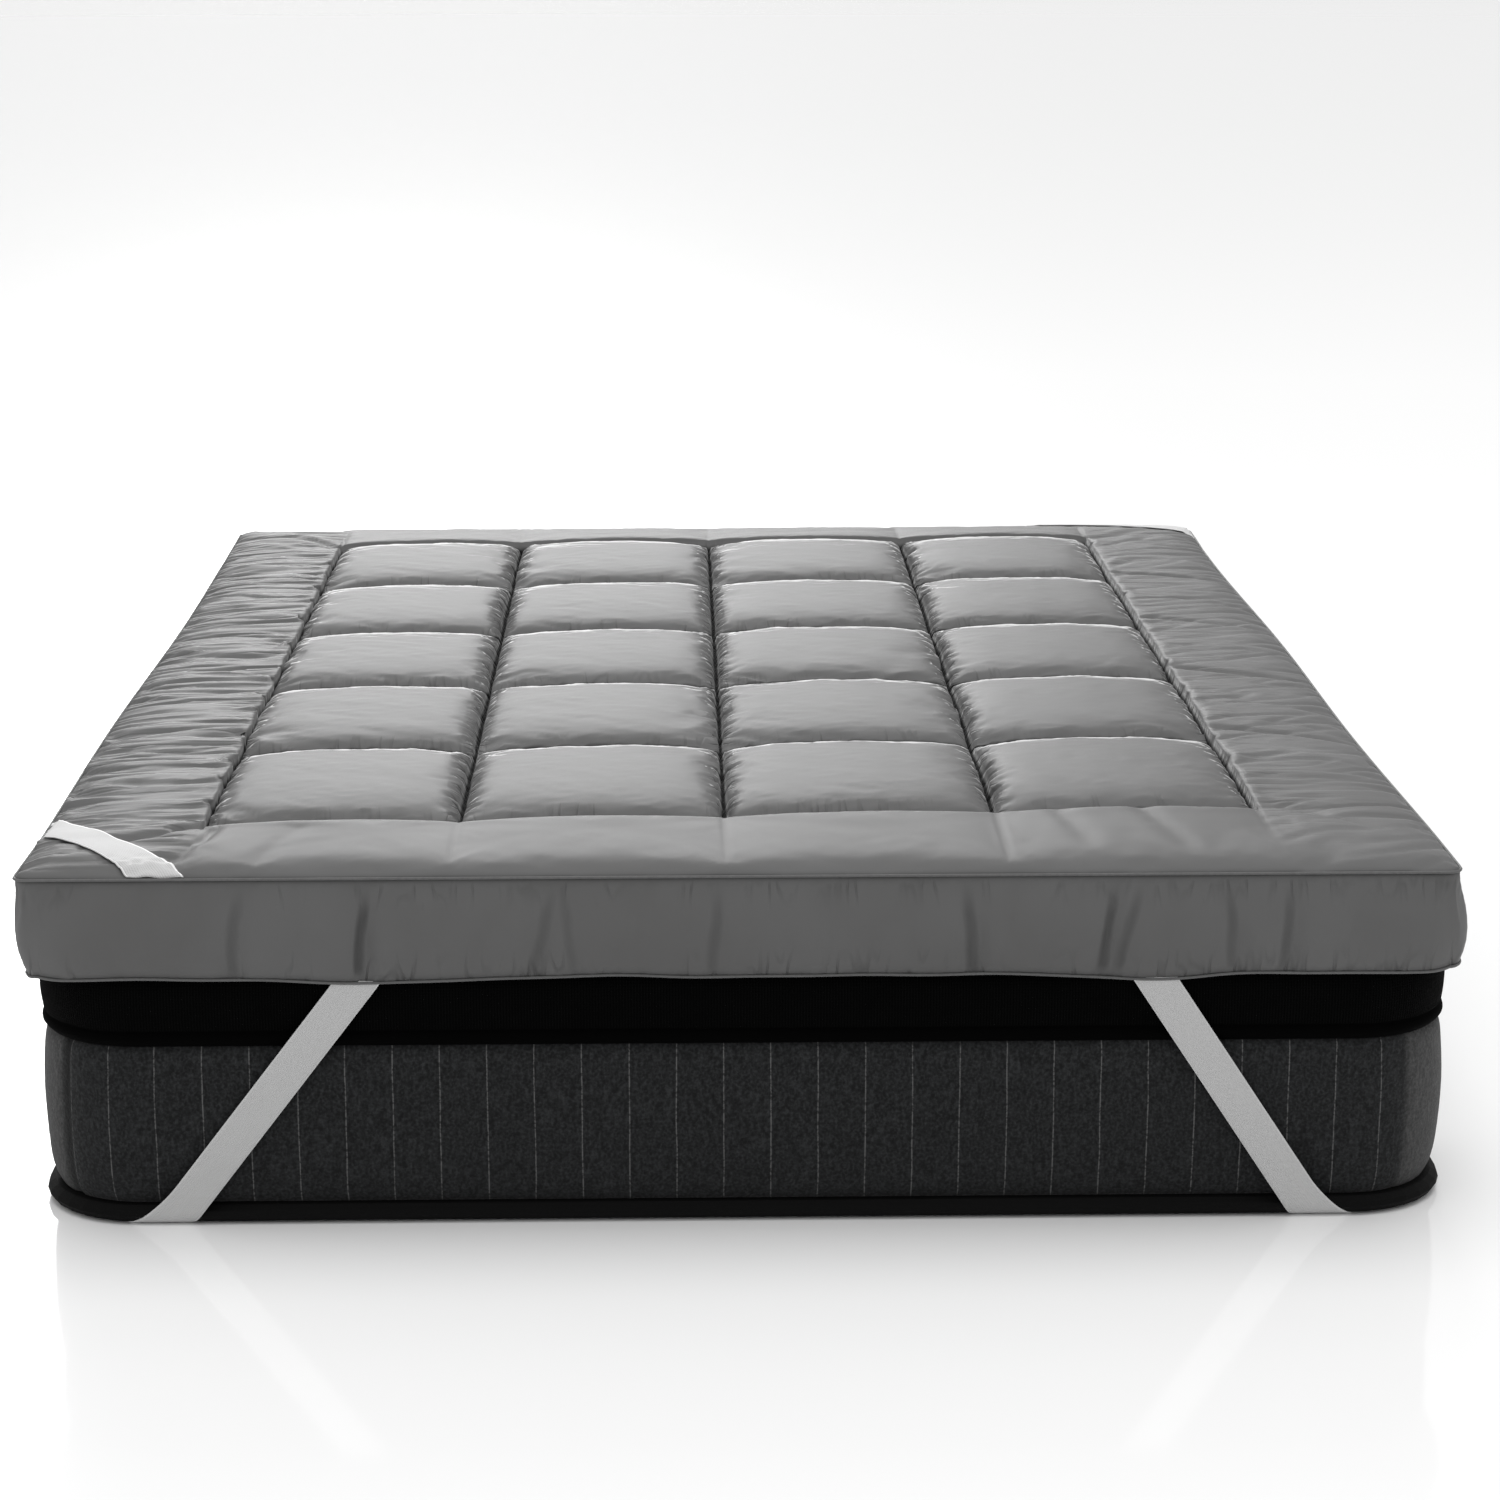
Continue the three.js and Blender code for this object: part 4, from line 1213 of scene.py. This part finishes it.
pad_height = height_finder(pad_mesh, FEELER)
for name, corners in BANDS.items():
    rows = band_rows(pad_height, *corners)
    piece, length = ribbon(name, rows, BAND_WIDTH, BAND_THICKNESS, "white_elastic")
    print(name, round(length, 3), "m long")

# %% [markdown]
# ## Bed mattress
#
# The mattress is built of layers with the same rounded outline. One face is made, its four
# corners are rounded with a vertex bevel, its long sides get more points, and the rim is extruded
# down, once for each point of a smooth profile. Every point then goes out from the outline's core
# by its own reach, so a layer can be drawn in or out evenly, corners included.

# %% Layers with rounded corners
CORNER_RADIUS = 0.115
CORNER_STEPS = 18
SIDE_STEP = 0.014
LONG_EDGE = 0.1
Spot = namedtuple("Spot", "run angle side z")


def smooth_line(points, steps):
    """A smooth line through given points, which stay on it."""
    points = np.array(points, float)
    padded = np.vstack([2 * points[0] - points[1], points, 2 * points[-1] - points[-2]])
    line = []
    for a, b, c, d in zip(padded, padded[1:], padded[2:], padded[3:]):
        for t in np.arange(steps) / steps:
            line.append(0.5 * (2 * b + (c - a) * t + (2 * a - 5 * b + 4 * c - d) * t ** 2
                               + (3 * b - a - 3 * c + d) * t ** 3))
    line.append(points[-1])
    return np.array(line)


def outline_mesh(width, length):
    """One flat face with rounded corners and closely spaced points."""
    bm = bmesh.new()
    bmesh.ops.create_grid(bm, x_segments=1, y_segments=1, size=0.5)
    bmesh.ops.scale(bm, vec=(width, length, 1), verts=bm.verts)
    bmesh.ops.bevel(
        bm, geom=bm.verts[:], offset=CORNER_RADIUS, offset_type="OFFSET", segments=CORNER_STEPS,
        profile=0.5, affect="VERTICES", material=-1)
    for edge in [edge for edge in bm.edges if edge.calc_length() > LONG_EDGE]:
        cuts = round(edge.calc_length() / SIDE_STEP)
        bmesh.ops.subdivide_edges(bm, edges=[edge], cuts=cuts)
    return bm


def layer(name, profile, relief, marks, slot):
    """A layer of the mattress: the profile's rows are inset and height, from the top down."""
    low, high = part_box(name)
    width, length = high.x - low.x, high.y - low.y
    core_x, core_y = width / 2 - CORNER_RADIUS, length / 2 - CORNER_RADIUS
    around = 4 * (core_x + core_y) + 2 * math.pi * CORNER_RADIUS
    bm = outline_mesh(width, length)
    level_layer = bm.verts.layers.int.new("level")
    edges = bm.edges[:]
    for step in range(1, len(profile)):
        edges, points = next_rim(bm, edges)
        for vert in points:
            vert[level_layer] = step
            vert.co.z = -step
    bmesh.ops.contextual_create(bm, geom=edges)
    bmesh.ops.recalc_face_normals(bm, faces=bm.faces)
    cloth_map = bm.loops.layers.uv.new("cloth")
    mark_layers = {mark: bm.verts.layers.float.new(mark) for mark in marks}
    run_of = {}
    for vert in bm.verts:
        x, y = vert.co.x, vert.co.y
        core = Vector((max(-core_x, min(core_x, x)), max(-core_y, min(core_y, y))))
        out = (Vector((x, y)) - core).normalized()
        angle = math.atan2(abs(out.x), abs(out.y))
        from_end = abs(core.x) + CORNER_RADIUS * angle + core_y - abs(core.y)
        run = from_end if y < 0 else around / 2 - from_end
        run = math.copysign(run, x) if abs(x) > TINY else (0 if y < 0 else around / 2)
        run_of[vert] = run
        inset, z = profile[vert[level_layer]]
        spot = Spot(run, angle, math.copysign(1, x), z)
        for mark, rule in marks.items():
            vert[mark_layers[mark]] = rule(spot)
        reach = CORNER_RADIUS - inset + relief(spot)
        vert.co = (core.x + out.x * reach + MATTRESS_MIDDLE, core.y + out.y * reach, z)
    for face in bm.faces:
        face.smooth = len(face.verts) <= 4
        runs = [run_of[vert] for vert in face.verts]
        wraps = max(runs) - min(runs) > around / 2
        for loop in face.loops:
            run = run_of[loop.vert]
            loop[cloth_map].uv = (run + around if wraps and run < 0 else run, loop.vert.co.z)
    mesh = mesh_from(bm, name)
    mesh.attributes.remove(mesh.attributes["level"])
    show(name, mesh, slot)
    print(name, len(mesh.polygons), "faces")


# %% [markdown]
# The black band under the pad bulges like a thin second cushion and ends in a rolled tape. The
# charcoal border below it is drawn in at both edges. Its end and side panels meet in an upright
# seam part of the way round each corner.

# %% Band and border of the mattress
band_low, band_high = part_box("mattress_top_band")
border_low, border_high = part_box("mattress_border")
ROLL_TOP = band_low.z + 0.016
SEAM_ANGLES = {-1: math.radians(45), 1: math.radians(32)}
BAND_PROFILE = [
    (0.022, band_high.z), (0.011, 0.2715), (0.0035, 0.264), (0.0, 0.253), (0.0, 0.232),
    (0.0022, ROLL_TOP + 0.003), (0.0045, ROLL_TOP), (0.0012, ROLL_TOP - 0.004),
    (0.0008, band_low.z + 0.006), (0.006, band_low.z),
]
BORDER_PROFILE = [
    (0.0085, border_high.z), (0.0045, 0.188), (0.002, 0.172), (0.0, 0.120), (0.0022, 0.060),
    (0.0062, 0.034), (0.0125, border_low.z),
]


def band_relief(spot):
    return 0.0011 * math.sin(spot.run * 9.1) * math.sin(spot.run * 3.7 + 1) * bell(spot.z - 0.235, 0.03)


def ribbed(spot):
    return 1.0 if spot.z > ROLL_TOP + 0.002 else 0.0


def past_seam(spot):
    """Distance round the corner from the upright seam, towards the side panel."""
    return (spot.angle - SEAM_ANGLES[spot.side]) * CORNER_RADIUS


def border_relief(spot):
    middle = math.sin(math.pi * (spot.z - border_low.z) / (border_high.z - border_low.z))
    soft = math.sin(spot.run * 7.3 + spot.z * 11) + 0.6 * math.sin(spot.run * 17.9 - spot.z * 23 + 2)
    return 0.0014 * soft * middle - 0.0032 * bell(past_seam(spot), 0.004)


def corner_seam(spot):
    return bell(past_seam(spot), 0.0025)


def side_panel(spot):
    return min(1.0, max(0.0, past_seam(spot) / 0.001))


layer("mattress_top_band", smooth_line(BAND_PROFILE, 3), band_relief, {"ribbed": ribbed}, "black_mesh")
layer("mattress_border", smooth_line(BORDER_PROFILE, 4), border_relief,
      {"seams_and_shade": corner_seam, "side_panel": side_panel}, "charcoal_knit")

# %% [markdown]
# The base keeps its solid, because the grooves where the straps press into its underside are
# already cut there. It only gets the finish of black woven tape.

# %% Base
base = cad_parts["mattress_base"]
base.data.materials.clear()
base.data.materials.append(FINISHES["black_tape"])
print("base keeps", len(base.data.polygons), "faces")
